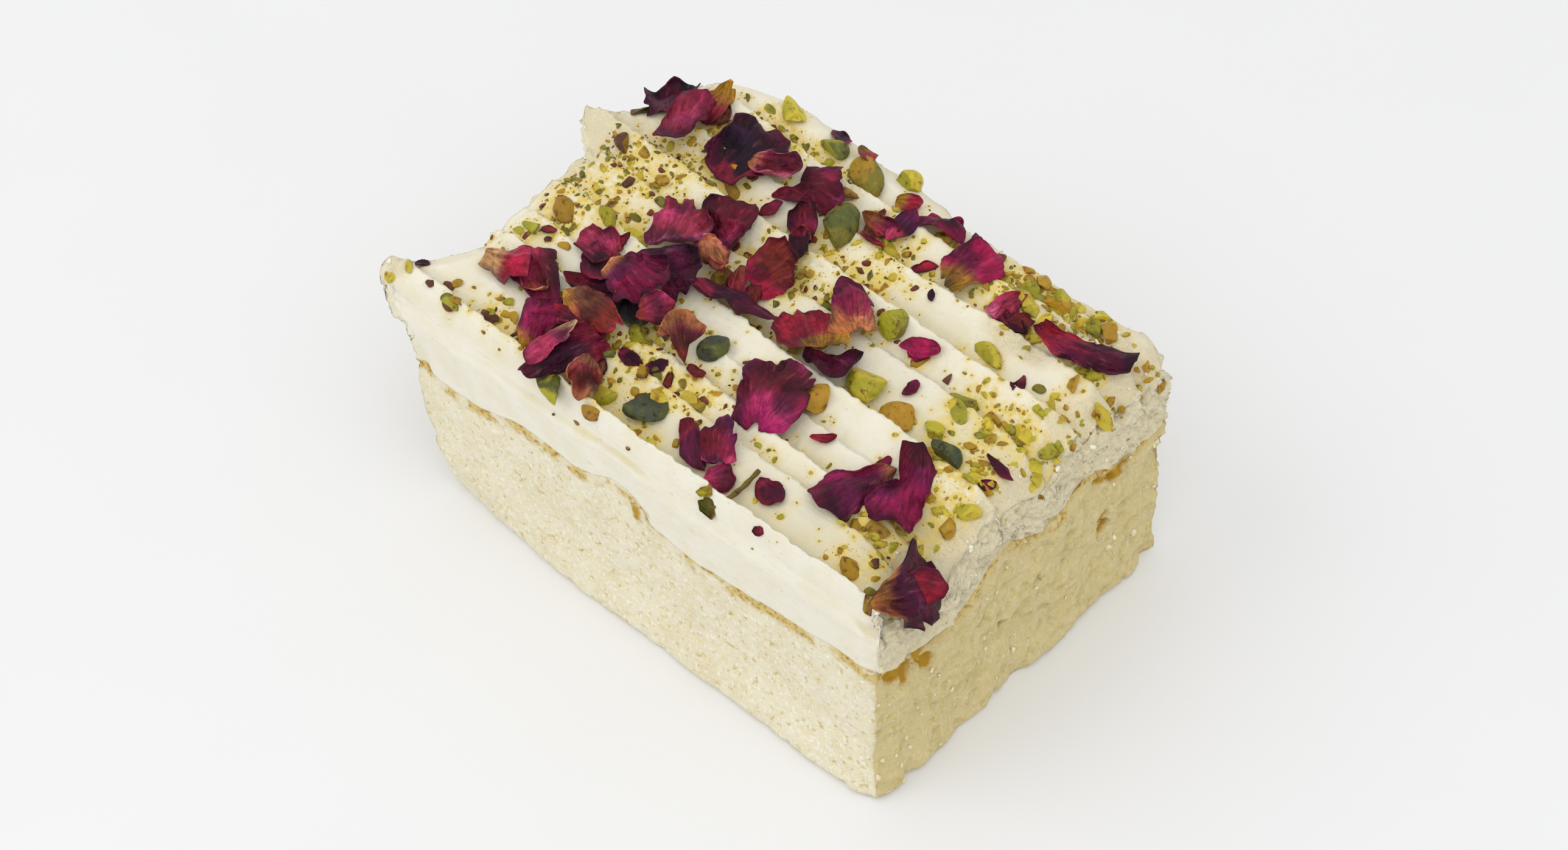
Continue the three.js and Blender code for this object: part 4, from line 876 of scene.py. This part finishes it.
def petal_colours(shape, seed, angle, share, flat, veins, crease):
    """The body's colour, with those of rim and foot where they are, lighter patches that are partly the
    petal's own and partly painted highlight, darker patches that are partly its own and partly painted
    shade, painted shade between the raised creases, and a thin line along the rim that is bright in some
    places and dark in others."""
    body, edge, foot = (COLOURS[shape[part]] for part in ("body", "rim", "foot"))
    to_edge = smooth(share + 0.35 * noise(flat, 3.6, 47), 0.55, 1.15)[:, None]
    along = flat[:, 0] / shape["long"] + 0.5 + 0.2 * noise(flat, 3, 48) + 0.1 * noise(veins, 0.8, 49)
    to_foot = smooth(along, shape["reach"] + 0.1, 0.2 * shape["reach"])[:, None]
    between = 1.6 * to_foot * (1 - to_foot) * (COLOURS["rose"] - body)
    # Lighter patches are partly the petal's own colour and partly painted highlight; darker ones are
    # partly its own colour and partly painted shade.
    bloom = smooth(noise(flat, 4.5, 50), 0, 0.8)[:, None]
    gloom = smooth(noise(flat, 3.6, 51), -0.15, 0.6)[:, None]
    colour = lerp(lerp(body, edge, to_edge), foot, to_foot) + between
    colour = lerp(colour, colour * [1.6, 1.8, 2] + [0.04, 0.005, 0.025], bloom)
    colour = lerp(colour, colour * [0.3, 0.4, 0.55], 0.85 * gloom)
    line = smooth(share, 0.93, 0.99) * around(angle, 0.5, seed + 40)
    # The crease factor is painted shade and highlight: darker between the raised creases, lighter along
    # them.
    shade = (1 + 0.2 * crease) * np.where(line > 0, 1 + 1.6 * line, 1 + 0.8 * line)
    return colour * shade[:, None]


def dried_petal(shape, seed, spokes, rings):
    """The crumpled petal and a colour, a flow and a share of its radius for each point of it."""
    angle, share = polar_grid(spokes, np.linspace(0, 1, rings + 1)[1:] ** 0.8)
    torn = torn_rim(shape, angle[1:spokes + 1], seed)
    rim = np.concatenate([torn[:1], np.tile(torn, rings)])
    long, wide = shape["long"], shape["wide"]
    flat = polar(share * rim, angle, seed * 9.7)
    fan = np.arctan2(flat[:, 1], flat[:, 0] + 0.75 * long)
    veins = np.stack([fan * 0.75 * long, 0.15 * flat[:, 0], flat[:, 2]], 1)
    warp = np.stack([noise(flat, 3.2, 70), noise(flat, 3.2, 71), 0 * angle], 1)
    folded = flat + 0.9 * warp
    fold, crease = ridges(folded * [0.55, 1, 1], 4.4, 43), ridges(folded, 2.2, 44)
    pleat = np.sin(fan * 15 + 1.6 * noise(flat, 5, 73) + seed) * smooth(flat[:, 0] / long, -0.5, 0.4)
    size = min(1, wide / 9)
    # The outer part of the petal curls up, more in some places than in others.
    curl = np.clip(shape["curl"] + 1.9 * around(angle, 0.8, seed), -0.5, 2.2) + 1e-6
    outer = np.maximum(share - CURL_FROM, 0) * rim
    bend = curl / ((1 - CURL_FROM) * rim)
    radius = share * rim + np.sin(bend * outer) / bend - outer
    points = bent(shape, radius, angle)
    lift = FOLD * fold + CREASE * crease * (0.6 + noise(flat, 4, 72)) + shape["pleat"] * pleat
    points[:, 2] += size * lift * smooth(share, 0, 0.35) + (1 - np.cos(bend * outer)) / bend
    points[:, :2] += 0.3 * smooth(share, 0.5, 1)[:, None] * warp[:, :2]
    return points, petal_colours(shape, seed, angle, share, flat, veins, crease), veins, share


def numbered(name, index):
    """The name of a solid, which counts from 01."""
    return f"{name}_{index + 1:02d}"


def kind_of(shape):
    return "dry" if shape["body"] in DRY else "dark" if shape["body"] in DEEP else "red"


def lay_on(points, ground):
    """Lifts the points that would lie in the cream."""
    for point in points:
        height = ground.height(point[0], point[1])
        if height is not None:
            point[2] = max(point[2], height + CLEAR)
    return points


def add_petal(heap, ground, shape, seed, spin, shift, sheet):
    spokes, rings, thick, thinner = sheet
    points, colour, veins, share = dried_petal(shape, seed, spokes, rings)
    laid = lay_on(points @ spin.T + shift, ground)
    solid, skin = thickened(laid, sheet_faces(spokes, rings), spokes, thick - thinner * share ** 3)
    heap.add(solid, skin, np.tile(colour, (2, 1)).clip(0, 1), np.tile(veins, (2, 1)))


def make_petals(heaps, ground):
    for index, shape in enumerate(PETALS):
        solid = coarse_petal(shape, index)
        spin, shift = pose_on(numbered("petal", index), solid, shape["turn"])
        shift = shift + [*shape["shift"], 0]
        add_petal(heaps[kind_of(shape)], ground, shape, index, spin, shift, WHOLE)


# ---- Pistachios, scraps, crumbs and the stalk ----

BALLS = {}


def ball(detail):
    if detail not in BALLS:
        grid = bpy.data.meshes.new("ball")
        work = bmesh.new()
        bmesh.ops.create_icosphere(work, subdivisions=detail, radius=1)
        work.to_mesh(grid)
        work.free()
        BALLS[detail] = (np.array([v.co[:] for v in grid.vertices]),
                         np.array([list(p.vertices) for p in grid.polygons]))
        bpy.data.meshes.remove(grid)
    return BALLS[detail]


def lump(draw, size, detail, cuts, rough):
    """A lump that fills a box of that size, cut by flat planes, and which of its points are cut."""
    points, faces = ball(detail)
    seed = draw.integers(1000)
    points = points * (1 + rough * fractal(points * 2 + seed, 1.1, 51))[:, None]
    cut = np.zeros(len(points))
    for _ in range(cuts):
        way = draw.normal(size=3)
        way /= np.linalg.norm(way)
        over = points @ way - draw.uniform(0.35, 0.75)
        cut = np.where(over > 0, 1, cut)
        points = points - np.maximum(over, 0)[:, None] * way
    low, high = points.min(0), points.max(0)
    return (points - (low + high) / 2) / (high - low) * size, faces, cut


def make_kernels(heap):
    draw = np.random.default_rng(11)
    for index, (long, wide, tall, turn, skin, flesh) in enumerate(KERNELS):
        low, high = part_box(numbered("pistachio", index))
        middle = np.array((low + high) / 2) / MM
        points, faces, cut = lump(draw, (long, wide, tall), 4, 3, 0.12)
        points = points + 0.12 * fractal(points, 1.2, 52)[:, None] * np.sign(points)
        shade = smooth(fractal(points + index * 5, 2.4, 53) + 0.5 * cut, -0.1, 0.4)[:, None]
        colour = lerp(COLOURS[skin], COLOURS[flesh], shade)
        laid = points @ axes(turn, UP).T + middle
        heap.add(laid, faces, colour, points + index * 20)


def add_bit(heap, draw, ground, x, y, long, wide, tall, turn, colours, detail=3, cuts=6, raised=0.15):
    """A bit of nut whose middle lies above the ground by a share of its height."""
    z, up = ground.lie(x, y, max(long, 1) / 2)
    if z is None:
        return
    points, faces, cut = lump(draw, (long, wide, tall), detail, cuts, 0.1)
    skin, flesh = (COLOURS[name] for name in colours)
    mixed = lerp(skin, flesh, np.clip(cut * 0.8 + 0.25 * noise(points + x, 1.3, 54), 0, 1)[:, None])
    place = np.array([x, y, z + raised * tall])
    heap.add(points @ axes(turn, up).T + place, faces, mixed * draw.uniform(0.8, 1.15), points + place)


# Skin and flesh colours of the pistachio pieces, of all bits near the rough cut end and of crumbs.
NUT_LOOKS = [("olive", "lime"), ("lime", "lemon"), ("brown", "ochre"), ("olive", "lemon"),
             ("lime", "lemon"), ("forest", "lime"), ("ochre", "lemon"), ("russet", "ochre")]
END_LOOKS = [("lime", "lemon"), ("ochre", "lemon"), ("lemon", "lime"), ("amber", "ochre"),
             ("olive", "lime"), ("lime", "lemon"), ("ochre", "amber")]
CRUMB_LOOKS = [("olive", "ochre"), ("brown", "ochre"), ("forest", "olive"), ("olive", "lime"),
               ("ochre", "amber"), ("russet", "brown"), ("olive", "lemon"), ("ochre", "lemon")]
END_FROM = 22  # where that end begins
# A single bit in one of these is nut, and in any other colour, russet included, it is petal.
NUT_COLOURS = {name for pair in NUT_LOOKS for name in pair} - {"russet"}


def looks_at(x, elsewhere):
    return END_LOOKS if x > END_FROM else elsewhere


def make_chunks(nuts, ground):
    draw = np.random.default_rng(12)
    for n, (x, y, long, wide, turn) in enumerate(CHUNKS):
        looks = looks_at(x, NUT_LOOKS)
        add_bit(nuts, draw, ground, x, y, long, wide, wide * CHUNK_TALL, turn, looks[n % len(looks)])
    for x, y, wide, colour in SPECKS:
        if colour in NUT_COLOURS:
            add_bit(nuts, draw, ground, x, y, 1.4 * wide, wide, 0.6 * wide, 37 * x, (colour, colour))


def make_scraps(heap, ground):
    """Torn bits of petal, each a small crumpled petal of its own."""
    rows = [(x, y, 0.4, petal(long, wide * 1.25, turn, colour, "wine", colour, curl=0.9))
            for x, y, long, wide, turn, colour in SCRAPS]
    rows += [(x, y, 0.3, petal(1.7 * wide, wide, 37 * x, colour, "dark", colour, curl=0.9))
             for x, y, wide, colour in SPECKS if colour not in NUT_COLOURS]
    for seed, (x, y, above, shape) in enumerate(LOOSE + rows, FIRST_SCRAP):
        z, up = ground.lie(x, y, 2)
        add_petal(heap, ground, shape, seed, axes(shape["turn"], up), [x, y, z + above], SCRAP)


# x, y and both reaches of the places where fine nut crumbs lie, and their number and size there.
DUSTED = [
    (-42, 2, 8, 10, 190, 0.75), (-46, 6, 5, 7, 130, 0.8), (-38, 15, 7, 7, 150, 0.8),
    (-30, 24, 8, 7, 100, 0.9), (-46, -12, 6, 8, 70, 0.9), (-30, -28, 8, 5, 80, 1.0),
    (-12, -24, 10, 6, 140, 1.1), (-20, -16, 6, 6, 80, 1.0), (-8, 8, 9, 9, 170, 0.9),
    (-22, 34, 10, 4, 80, 1.3), (2, 20, 6, 8, 90, 1.1), (28, 32, 9, 4, 160, 1.5),
    (42, -8, 6, 10, 110, 1.3), (38, 6, 9, 8, 60, 1.2), (34, 28, 12, 5, 110, 1.3),
    (10, 12, 14, 12, 70, 0.9), (5, -20, 18, 10, 60, 0.8), (0, 0, 45, 32, 160, 0.8),
    (-40, 20, 9, 10, 70, 0.8), (46, 18, 4, 10, 70, 1.3), (41, -24, 5, 6, 50, 1.2),
]
IN_VALLEYS = 0.35  # share of the crumbs that have gathered in the valleys between the strokes
FARTHEST = 52, 36  # where crumbs lie at most, along and across


def make_crumbs(heap, ground):
    """Returns x, y and size of every crumb."""
    draw = np.random.default_rng(13)
    spots = []
    for x, y, reach_x, reach_y, count, size in DUSTED:
        for _ in range(count):
            at_x, at_y = x + reach_x * draw.normal() * 0.8, y + reach_y * draw.normal() * 0.8
            if draw.random() < IN_VALLEYS:
                valleys = [crest_line(n, at_x) + LIP + 0.3 for n in range(len(STROKES))]
                at_y = min(valleys, key=lambda valley: abs(valley - at_y)) + abs(draw.normal()) * 1.3
            wide = size * min(0.26 + draw.exponential(0.42), 2.4)
            turn = draw.uniform(0, 360)
            looks = looks_at(at_x, CRUMB_LOOKS)
            colours = looks[draw.integers(len(looks))]
            if abs(at_x) > FARTHEST[0] or abs(at_y) > FARTHEST[1]:
                continue
            long = wide * draw.uniform(1, 2)
            add_bit(heap, draw, ground, at_x, at_y, long, wide, wide * draw.uniform(0.4, 0.8), turn,
                    colours, detail=2 if wide > 0.6 else 1, cuts=7, raised=0.05)
            spots.append((at_x, at_y, wide))
    return np.array(spots)


def strew(heap, draw, points, normals, weights, count, size, colours):
    """Half-sunk lumps on a skin, thickest where its weights are largest."""
    for place in draw.choice(len(points), count, p=weights / weights.sum()):
        wide = size * min(0.5 + draw.exponential(0.5), 2.5)
        box = wide, wide * draw.uniform(0.6, 1), wide * draw.uniform(0.3, 0.7)
        shape, faces, _ = lump(draw, box, 2, 6, 0.5)
        up = normals[place] + draw.normal(size=3) * 0.2
        spin = axes_on(up / np.linalg.norm(up), draw.normal(size=3))
        middle = points[place] + normals[place] * wide * 0.1
        colour = lerp(COLOURS[colours[0]], COLOURS[colours[1]], draw.random())
        laid = shape @ spin.T + middle
        laid[:, 2] = np.maximum(laid[:, 2], 0)
        heap.add(laid, faces, colour, shape + middle)


def make_stalk(heap, ground):
    path = [Vector((x, y, ground.height(x, y) + above)) for x, y, above in STALK_PATH]
    steps, sides = STALK_GRID
    points = []
    for n in range(steps + 1):
        t = n / steps * (len(path) - 1)
        whole = min(int(t), len(path) - 2)
        here = path[whole].lerp(path[whole + 1], t - whole)
        along = (path[whole + 1] - path[whole]).normalized()
        aside = along.cross(Vector((0, 0, 1))).normalized()
        above = aside.cross(along)
        radius = STALK_RADIUS * (0.75 + 0.12 * math.sin(n * 1.3) + 0.25 * n / steps)
        for side in range(sides):
            angle = side * 2 * math.pi / sides
            points.append(here + radius * (math.cos(angle) * aside + math.sin(angle) * above))
    faces = []
    for n in range(steps):
        for side in range(sides):
            a, b = n * sides + side, n * sides + (side + 1) % sides
            faces += [(a, b + sides, b), (a, a + sides, b + sides)]
    last = steps * sides
    for side in range(1, sides - 1):
        faces += [(0, side, side + 1), (last, last + side + 1, last + side)]
    heap.add(np.array(points), np.array(faces), lerp(COLOURS["olive"], COLOURS["brown"], 0.5))


# ---- Materials ----

class Look:
    """A material and short ways to add nodes to it. Sizes are in millimetres."""

    def __init__(self, name, roughness, **fixed):
        self.material = bpy.data.materials.new(name)
        self.material.use_nodes = True
        self.tree = self.material.node_tree
        self.shader = self.tree.nodes["Principled BSDF"]
        self.shader.inputs["Roughness"].default_value = roughness
        for socket, value in fixed.items():
            self.shader.inputs[socket.replace("_", " ")].default_value = value
        here = self.add("ShaderNodeTexCoord").outputs["Object"]
        self.places = self.vector_math("SCALE", here, 1 / MM)

    def add(self, kind, inputs=None, **settings):
        node = self.tree.nodes.new(kind)
        for name, value in settings.items():
            setattr(node, name, value)
        for name, value in (inputs or {}).items():
            self.plug(node.inputs[name], value)
        return node

    def plug(self, socket, value):
        if isinstance(value, bpy.types.NodeSocket):
            self.tree.links.new(value, socket)
        else:
            socket.default_value = value

    def vector_math(self, operation, vector, other):
        inputs = {0: vector, "Scale" if operation == "SCALE" else 1: other}
        return self.add("ShaderNodeVectorMath", inputs, operation=operation).outputs[0]

    def math(self, operation, a, b, clamp=False):
        return self.add("ShaderNodeMath", {0: a, 1: b}, operation=operation, use_clamp=clamp).outputs[0]

    def times(self, a, b, clamp=False):
        return self.math("MULTIPLY", a, b, clamp)

    def number(self, name):
        return self.add("ShaderNodeAttribute", attribute_name=name).outputs["Fac"]

    def vector(self, name):
        return self.add("ShaderNodeAttribute", attribute_name=name).outputs["Vector"]

    def noise(self, size, detail=3, rough=0.55, at=None):
        inputs = {"Vector": at or self.places, "Scale": 1 / size, "Detail": detail, "Roughness": rough}
        return self.add("ShaderNodeTexNoise", inputs).outputs["Fac"]

    def cells(self, size):
        inputs = {"Vector": self.places, "Scale": 1 / size}
        return self.add("ShaderNodeTexVoronoi", inputs).outputs["Distance"]

    def span(self, value, low, high, to_low=0.0, to_high=1.0):
        inputs = {"Value": value, "From Min": low, "From Max": high, "To Min": to_low, "To Max": to_high}
        return self.add("ShaderNodeMapRange", inputs, interpolation_type="SMOOTHSTEP").outputs[0]

    def mix(self, a, b, share, blend="MIX"):
        node = self.add("ShaderNodeMix", {"Factor": share}, data_type="RGBA", blend_type=blend)
        for name, value in (("A", a), ("B", b)):
            socket = next(s for s in node.inputs if s.name == name and s.type == "RGBA")
            self.plug(socket, (*srgb(value), 1) if isinstance(value, str) else value)
        return next(s for s in node.outputs if s.type == "RGBA")

    def paint(self, body, *layers):
        """Lays colours over the body's own, each by its share."""
        for colour, share in layers:
            body = self.mix(body, colour, share)
        self.plug(self.shader.inputs["Base Color"], body)

    def bump(self, *layers):
        """Layers are a height and how many millimetres it stands for."""
        normal = None
        for height, depth in layers:
            node = self.add("ShaderNodeBump", {"Distance": depth * MM, "Height": height})
            if normal:
                self.plug(node.inputs["Normal"], normal)
            normal = node.outputs[0]
        self.plug(self.shader.inputs["Normal"], normal)

    def soft(self, weight, depth, radius):
        self.shader.inputs["Subsurface Weight"].default_value = weight
        self.shader.inputs["Subsurface Scale"].default_value = depth * MM
        self.shader.inputs["Subsurface Radius"].default_value = radius


def sponge_look():
    look = Look("sponge", 0.9, Specular_IOR_Level=0.15)
    torn = look.number("torn")
    lumps, pores = look.noise(0.75, 6, 0.72), look.noise(1.25, 6, 0.7)
    whole = look.span(torn, 0, 1, 1, 0.25)
    wet = look.span(look.math("ADD", look.number("pit"), look.noise(1.4)), 0.72, 1.2)
    edge = look.math("ADD", look.number("below"), look.times(look.noise(1.4, 5, 0.7), 3.4))
    patchy = look.span(look.noise(6, 3), 0.43, 0.54, 0.06, 1)
    crust = look.mix("dec580", "b48e3e", look.span(look.noise(0.9, 4), 0.45, 0.64))
    look.paint(look.mix("f2ebd2", "ebe1c2", look.span(look.noise(7), 0.35, 0.7)),
               ("eee0a8", look.times(look.number("hole"), 0.45)),
               # Darker yellow on the faces turned to the cut ends and the far side: partly the torn
               # crumb's own colour, partly painted shade.
               ("d2bf82", look.times(torn, 0.8, clamp=True)),
               ("c8b362", look.span(pores, 0.45, 0.34, 0, 0.8)),
               # Paler on the raised lumps of the crumb: partly pale crumb, partly painted highlight.
               ("fffdf4", look.times(look.span(lumps, 0.52, 0.62, 0, 0.7), whole)),
               ("bf9634", wet),
               (crust, look.times(look.span(edge, 4.9, 3.1), patchy)))
    look.bump((lumps, 0.22), (pores, 0.2), (look.cells(0.8), -0.08))
    look.soft(0.15, 1, (1, 0.8, 0.45))
    return look.material


def cream_look():
    look = Look("cream", 0.6, Specular_IOR_Level=0.25)
    torn, upward, stain = look.number("torn"), look.number("upward"), look.number("stain")
    flakes = look.noise(0.9, 6, 0.75)
    patches = look.times(stain, look.span(look.noise(1.1, 4), 0.2, 0.6))
    dusty = look.times(look.span(stain, 0.12, 0.4), upward)
    dust = look.times(look.span(look.noise(0.5, 2), 0.64, 0.69), dusty)
    look.paint(look.mix("efebdc", "ebe5cf", look.span(look.noise(6, 4), 0.35, 0.7)),
               # Painted shade in the valleys between the strokes, with a little of the nut dust's
               # yellow.
               ("cbbf92", look.times(look.number("valley"), 0.7)),
               ("e4cc70", look.times(patches, upward)),
               ("8c7a24", look.times(dust, look.span(look.noise(2.2), 0.42, 0.52))),
               # Warmer and lighter on the torn places and the faces turned to the ends and far side:
               # partly the cream's own tone, partly painted warm light.
               ("fff1cc", look.times(torn, 0.85, clamp=True)),
               # Darker in the low places of the flakes on the torn places: painted shade in the
               # crevices.
               ("ecdcae", look.times(torn, look.span(flakes, 0.44, 0.34, 0, 0.6))))
    grit = look.times(look.noise(0.8, 5, 0.65), look.math("ADD", torn, 0.3))
    speck = look.span(look.cells(1.9), 0.05, 0.12)
    drawn = look.noise(0.7, 4, 0.6, look.vector_math("MULTIPLY", look.places, (0.12, 1, 1)))
    look.bump((grit, 0.35), (look.times(flakes, torn), 0.25), (speck, 0.08), (drawn, 0.12),
              (look.noise(0.45, 4, 0.7), 0.12))
    look.soft(0.2, 0.6, (1, 0.85, 0.55))
    return look.material


def lump_look(name):
    look = Look(name, 0.75, Specular_IOR_Level=0.2)
    look.paint(look.vector("tint"), ("f6f0dc", look.span(look.noise(0.6, 4), 0.4, 0.7, 0, 0.5)))
    look.bump((look.noise(0.5, 4, 0.65), 0.2))
    look.soft(0.2, 0.7, (1, 0.8, 0.5))
    return look.material


def petal_look(name):
    look = Look(name, 0.5, Specular_IOR_Level=0.2, Sheen_Weight=0.04, Sheen_Roughness=0.4,
                Sheen_Tint=(1, 0.3, 0.6, 1))
    tint = look.vector("tint")
    veins = look.noise(0.55, 3, 0.6, look.vector("flow"))
    leather = look.noise(1.1, 5, 0.6)
    body = look.mix(tint, "9c6070", look.span(veins, 0.6, 0.36, 0, 0.55), "MULTIPLY")
    # Paler pink along the raised veins and wrinkles: painted sheen.
    body = look.mix(body, look.mix(tint, "e0a090", 0.14), look.span(veins, 0.58, 0.72, 0, 0.7))
    look.paint(look.mix(body, "907080", look.span(leather, 0.55, 0.36, 0, 0.5), "MULTIPLY"))
    look.plug(look.shader.inputs["Roughness"], look.span(leather, 0.3, 0.7, 0.38, 0.62))
    look.bump((veins, 0.16), (leather, 0.6), (look.noise(0.4, 3), 0.08))
    look.soft(0.06, 0.5, (1, 0.2, 0.3))
    return look.material


def nut_look():
    look = Look("pistachio", 0.5, Specular_IOR_Level=0.4)
    tint = look.vector("tint")
    patch = look.noise(1.3, 4, 0.6, look.vector("flow"))
    look.paint(look.mix(tint, "8a5a3a", look.span(patch, 0.5, 0.75), "MULTIPLY"),
               (look.mix(tint, "f0e890", 0.12), look.span(patch, 0.42, 0.25)))
    look.bump((look.noise(0.5, 4, 0.65), 0.2), (look.noise(1.6, 2), 0.3))
    look.soft(0.15, 0.8, (1, 0.9, 0.3))
    return look.material


# ---- Camera, light and floor ----

ELEVATION, ROLL = 46.931, -2.105  # of the camera, in degrees
DISTANCE = 512.014
TARGET = Vector((-1.491, -0.666, 20))
LENS, SENSOR = 70.63, 36

# Azimuth, elevation, distance and size in metres, power and colour of each lamp.
LAMPS = {
    "window": (-38, 42, 1.3, 1.0, 2.9, (1, 0.98, 0.95)),
    "ceiling": (62, 60, 1.5, 1.4, 5.6, (1, 1, 1)),
}
ROOM, ROOM_STRENGTH = (1, 0.995, 0.985, 1), 0.8  # the even light from all around
FLOOR_REACH = 3  # metres


def view_axes(azimuth, elevation, roll):
    a, e, r = (math.radians(angle) for angle in (azimuth, elevation, roll))
    back = Vector((math.sin(a) * math.cos(e), -math.cos(a) * math.cos(e), math.sin(e)))
    level = Vector((math.cos(a), math.sin(a), 0))
    rise = back.cross(level)
    right = level * math.cos(r) + rise * math.sin(r)
    up = rise * math.cos(r) - level * math.sin(r)
    return right, up, back


def place(obj, location, right, up, back):
    turn = Matrix((right, up, back)).transposed().to_4x4()
    obj.matrix_world = Matrix.Translation(location) @ turn


def make_camera():
    data = bpy.data.cameras.new("camera")
    data.sensor_width = SENSOR
    data.lens = LENS
    data.clip_start = 0.01
    camera = add_object("camera", data)
    right, up, back = view_axes(AZIMUTH, ELEVATION, ROLL)
    place(camera, (TARGET + back * DISTANCE) * MM, right, up, back)
    bpy.context.scene.camera = camera


def make_light(name, azimuth, elevation, distance, size, power, colour):
    data = bpy.data.lights.new(name, "AREA")
    data.shape = "DISK"
    data.size = size
    data.energy = power
    data.color = colour
    right, up, back = view_axes(azimuth, elevation, 0)
    place(add_object(name, data), back * distance, right, up, back)


def make_stage():
    world = bpy.data.worlds.new("room")
    world.use_nodes = True
    background = world.node_tree.nodes["Background"]
    background.inputs["Color"].default_value = ROOM
    background.inputs["Strength"].default_value = ROOM_STRENGTH
    bpy.context.scene.world = world
    bpy.context.scene.view_settings.view_transform = "Standard"
    for name, lamp in LAMPS.items():
        make_light(name, *lamp)
    corners = np.array([(-1, -1, 0), (1, -1, 0), (1, 1, 0), (-1, 1, 0)]) * FLOOR_REACH / MM
    floor = add_object("floor", new_mesh("floor", corners, [(0, 1, 2, 3)]))
    look = Look("floor", 0.6, Specular_IOR_Level=0.2)
    look.paint(look.mix("edeef0", "eaebed", look.noise(60, 2)))
    floor.data.materials.append(look.material)


# ---- The cake ----

STAIN_REACH = 8
STAIN_FLOOR = 36  # the stain stays above this height
# How many loose lumps lie on the torn places, how large they are and between which two colours.
CREAM_LUMPS, SPONGE_LUMPS = (500, 0.5, ("cream", "cream")), (300, 0.6, ("crumb", "butter"))


def stain_at(points, spots):
    """How strongly the nuts have coloured the cream: a close halo and a faint wash around it."""
    total = np.zeros(len(points))
    for x, y, wide in spots:
        near = np.flatnonzero(np.abs(points[:, 0] - x) + np.abs(points[:, 1] - y) < STAIN_REACH)
        away = np.hypot(points[near, 0] - x, points[near, 1] - y)
        total[near] += 0.85 * hump(away, 0.3 + 0.62 * wide) + min(wide, 3) * 0.08 * hump(away, 2.4)
    return np.clip(total, 0, 1) * (points[:, 2] > STAIN_FLOOR)


make_camera()
sponge_mesh, sponge_points, sponge_loose = make_sponge()
sponge_normals = normals_of(sponge_mesh)
add_piece(sponge_mesh, sponge_look(), "sponge", "sponge")

cream_mesh, cream_points, cream_faces, cream_loose = make_cream()
ground = Ground(cream_points, cream_faces)
petals = {"red": Heap(), "dark": Heap(), "dry": Heap()}
kernels, chunks, scraps, crumbs, stalk = Heap(), Heap(), Heap(), Heap(), Heap()
cream_lumps, sponge_lumps = Heap(), Heap()
make_petals(petals, ground)
make_kernels(kernels)
make_chunks(chunks, ground)
make_scraps(scraps, ground)
spots = make_crumbs(crumbs, ground)
make_stalk(stalk, ground)
strew(cream_lumps, np.random.default_rng(14), cream_points, normals_of(cream_mesh), cream_loose,
      *CREAM_LUMPS)
strew(sponge_lumps, np.random.default_rng(15), sponge_points, sponge_normals, sponge_loose,
      *SPONGE_LUMPS)

chunk_spots = [(x, y, wide) for x, y, _, wide, _ in CHUNKS]
give(cream_mesh, "stain", stain_at(cream_points, [*chunk_spots, *spots]))
add_piece(cream_mesh, cream_look(), "cream", "cream")

for kind, slot in (("red", "petal"), ("dark", "dark_petal"), ("dry", "dry_petal")):
    of_kind = [numbered("petal", n) for n, shape in enumerate(PETALS) if kind == kind_of(shape)]
    add_piece(petals[kind].mesh(f"petals_{kind}"), petal_look(slot), slot, *of_kind)
nodes = [numbered("pistachio", n) for n in range(len(KERNELS))]
nut = nut_look()
add_piece(kernels.mesh("pistachios"), nut, "pistachio", *nodes, sharp=40)
add_piece(chunks.mesh("pistachio_pieces"), nut, "pistachio", sharp=32)
add_piece(crumbs.mesh("pistachio_crumbs"), nut, "pistachio", sharp=32)
add_piece(cream_lumps.mesh("cream_lumps"), lump_look("loose cream"), "cream")
add_piece(sponge_lumps.mesh("sponge_lumps"), lump_look("loose crumb"), "sponge")
add_piece(scraps.mesh("petal_scraps"), petal_look("scraps"), "dark_petal")
add_piece(stalk.mesh("stalk"), nut, "pistachio")

make_stage()
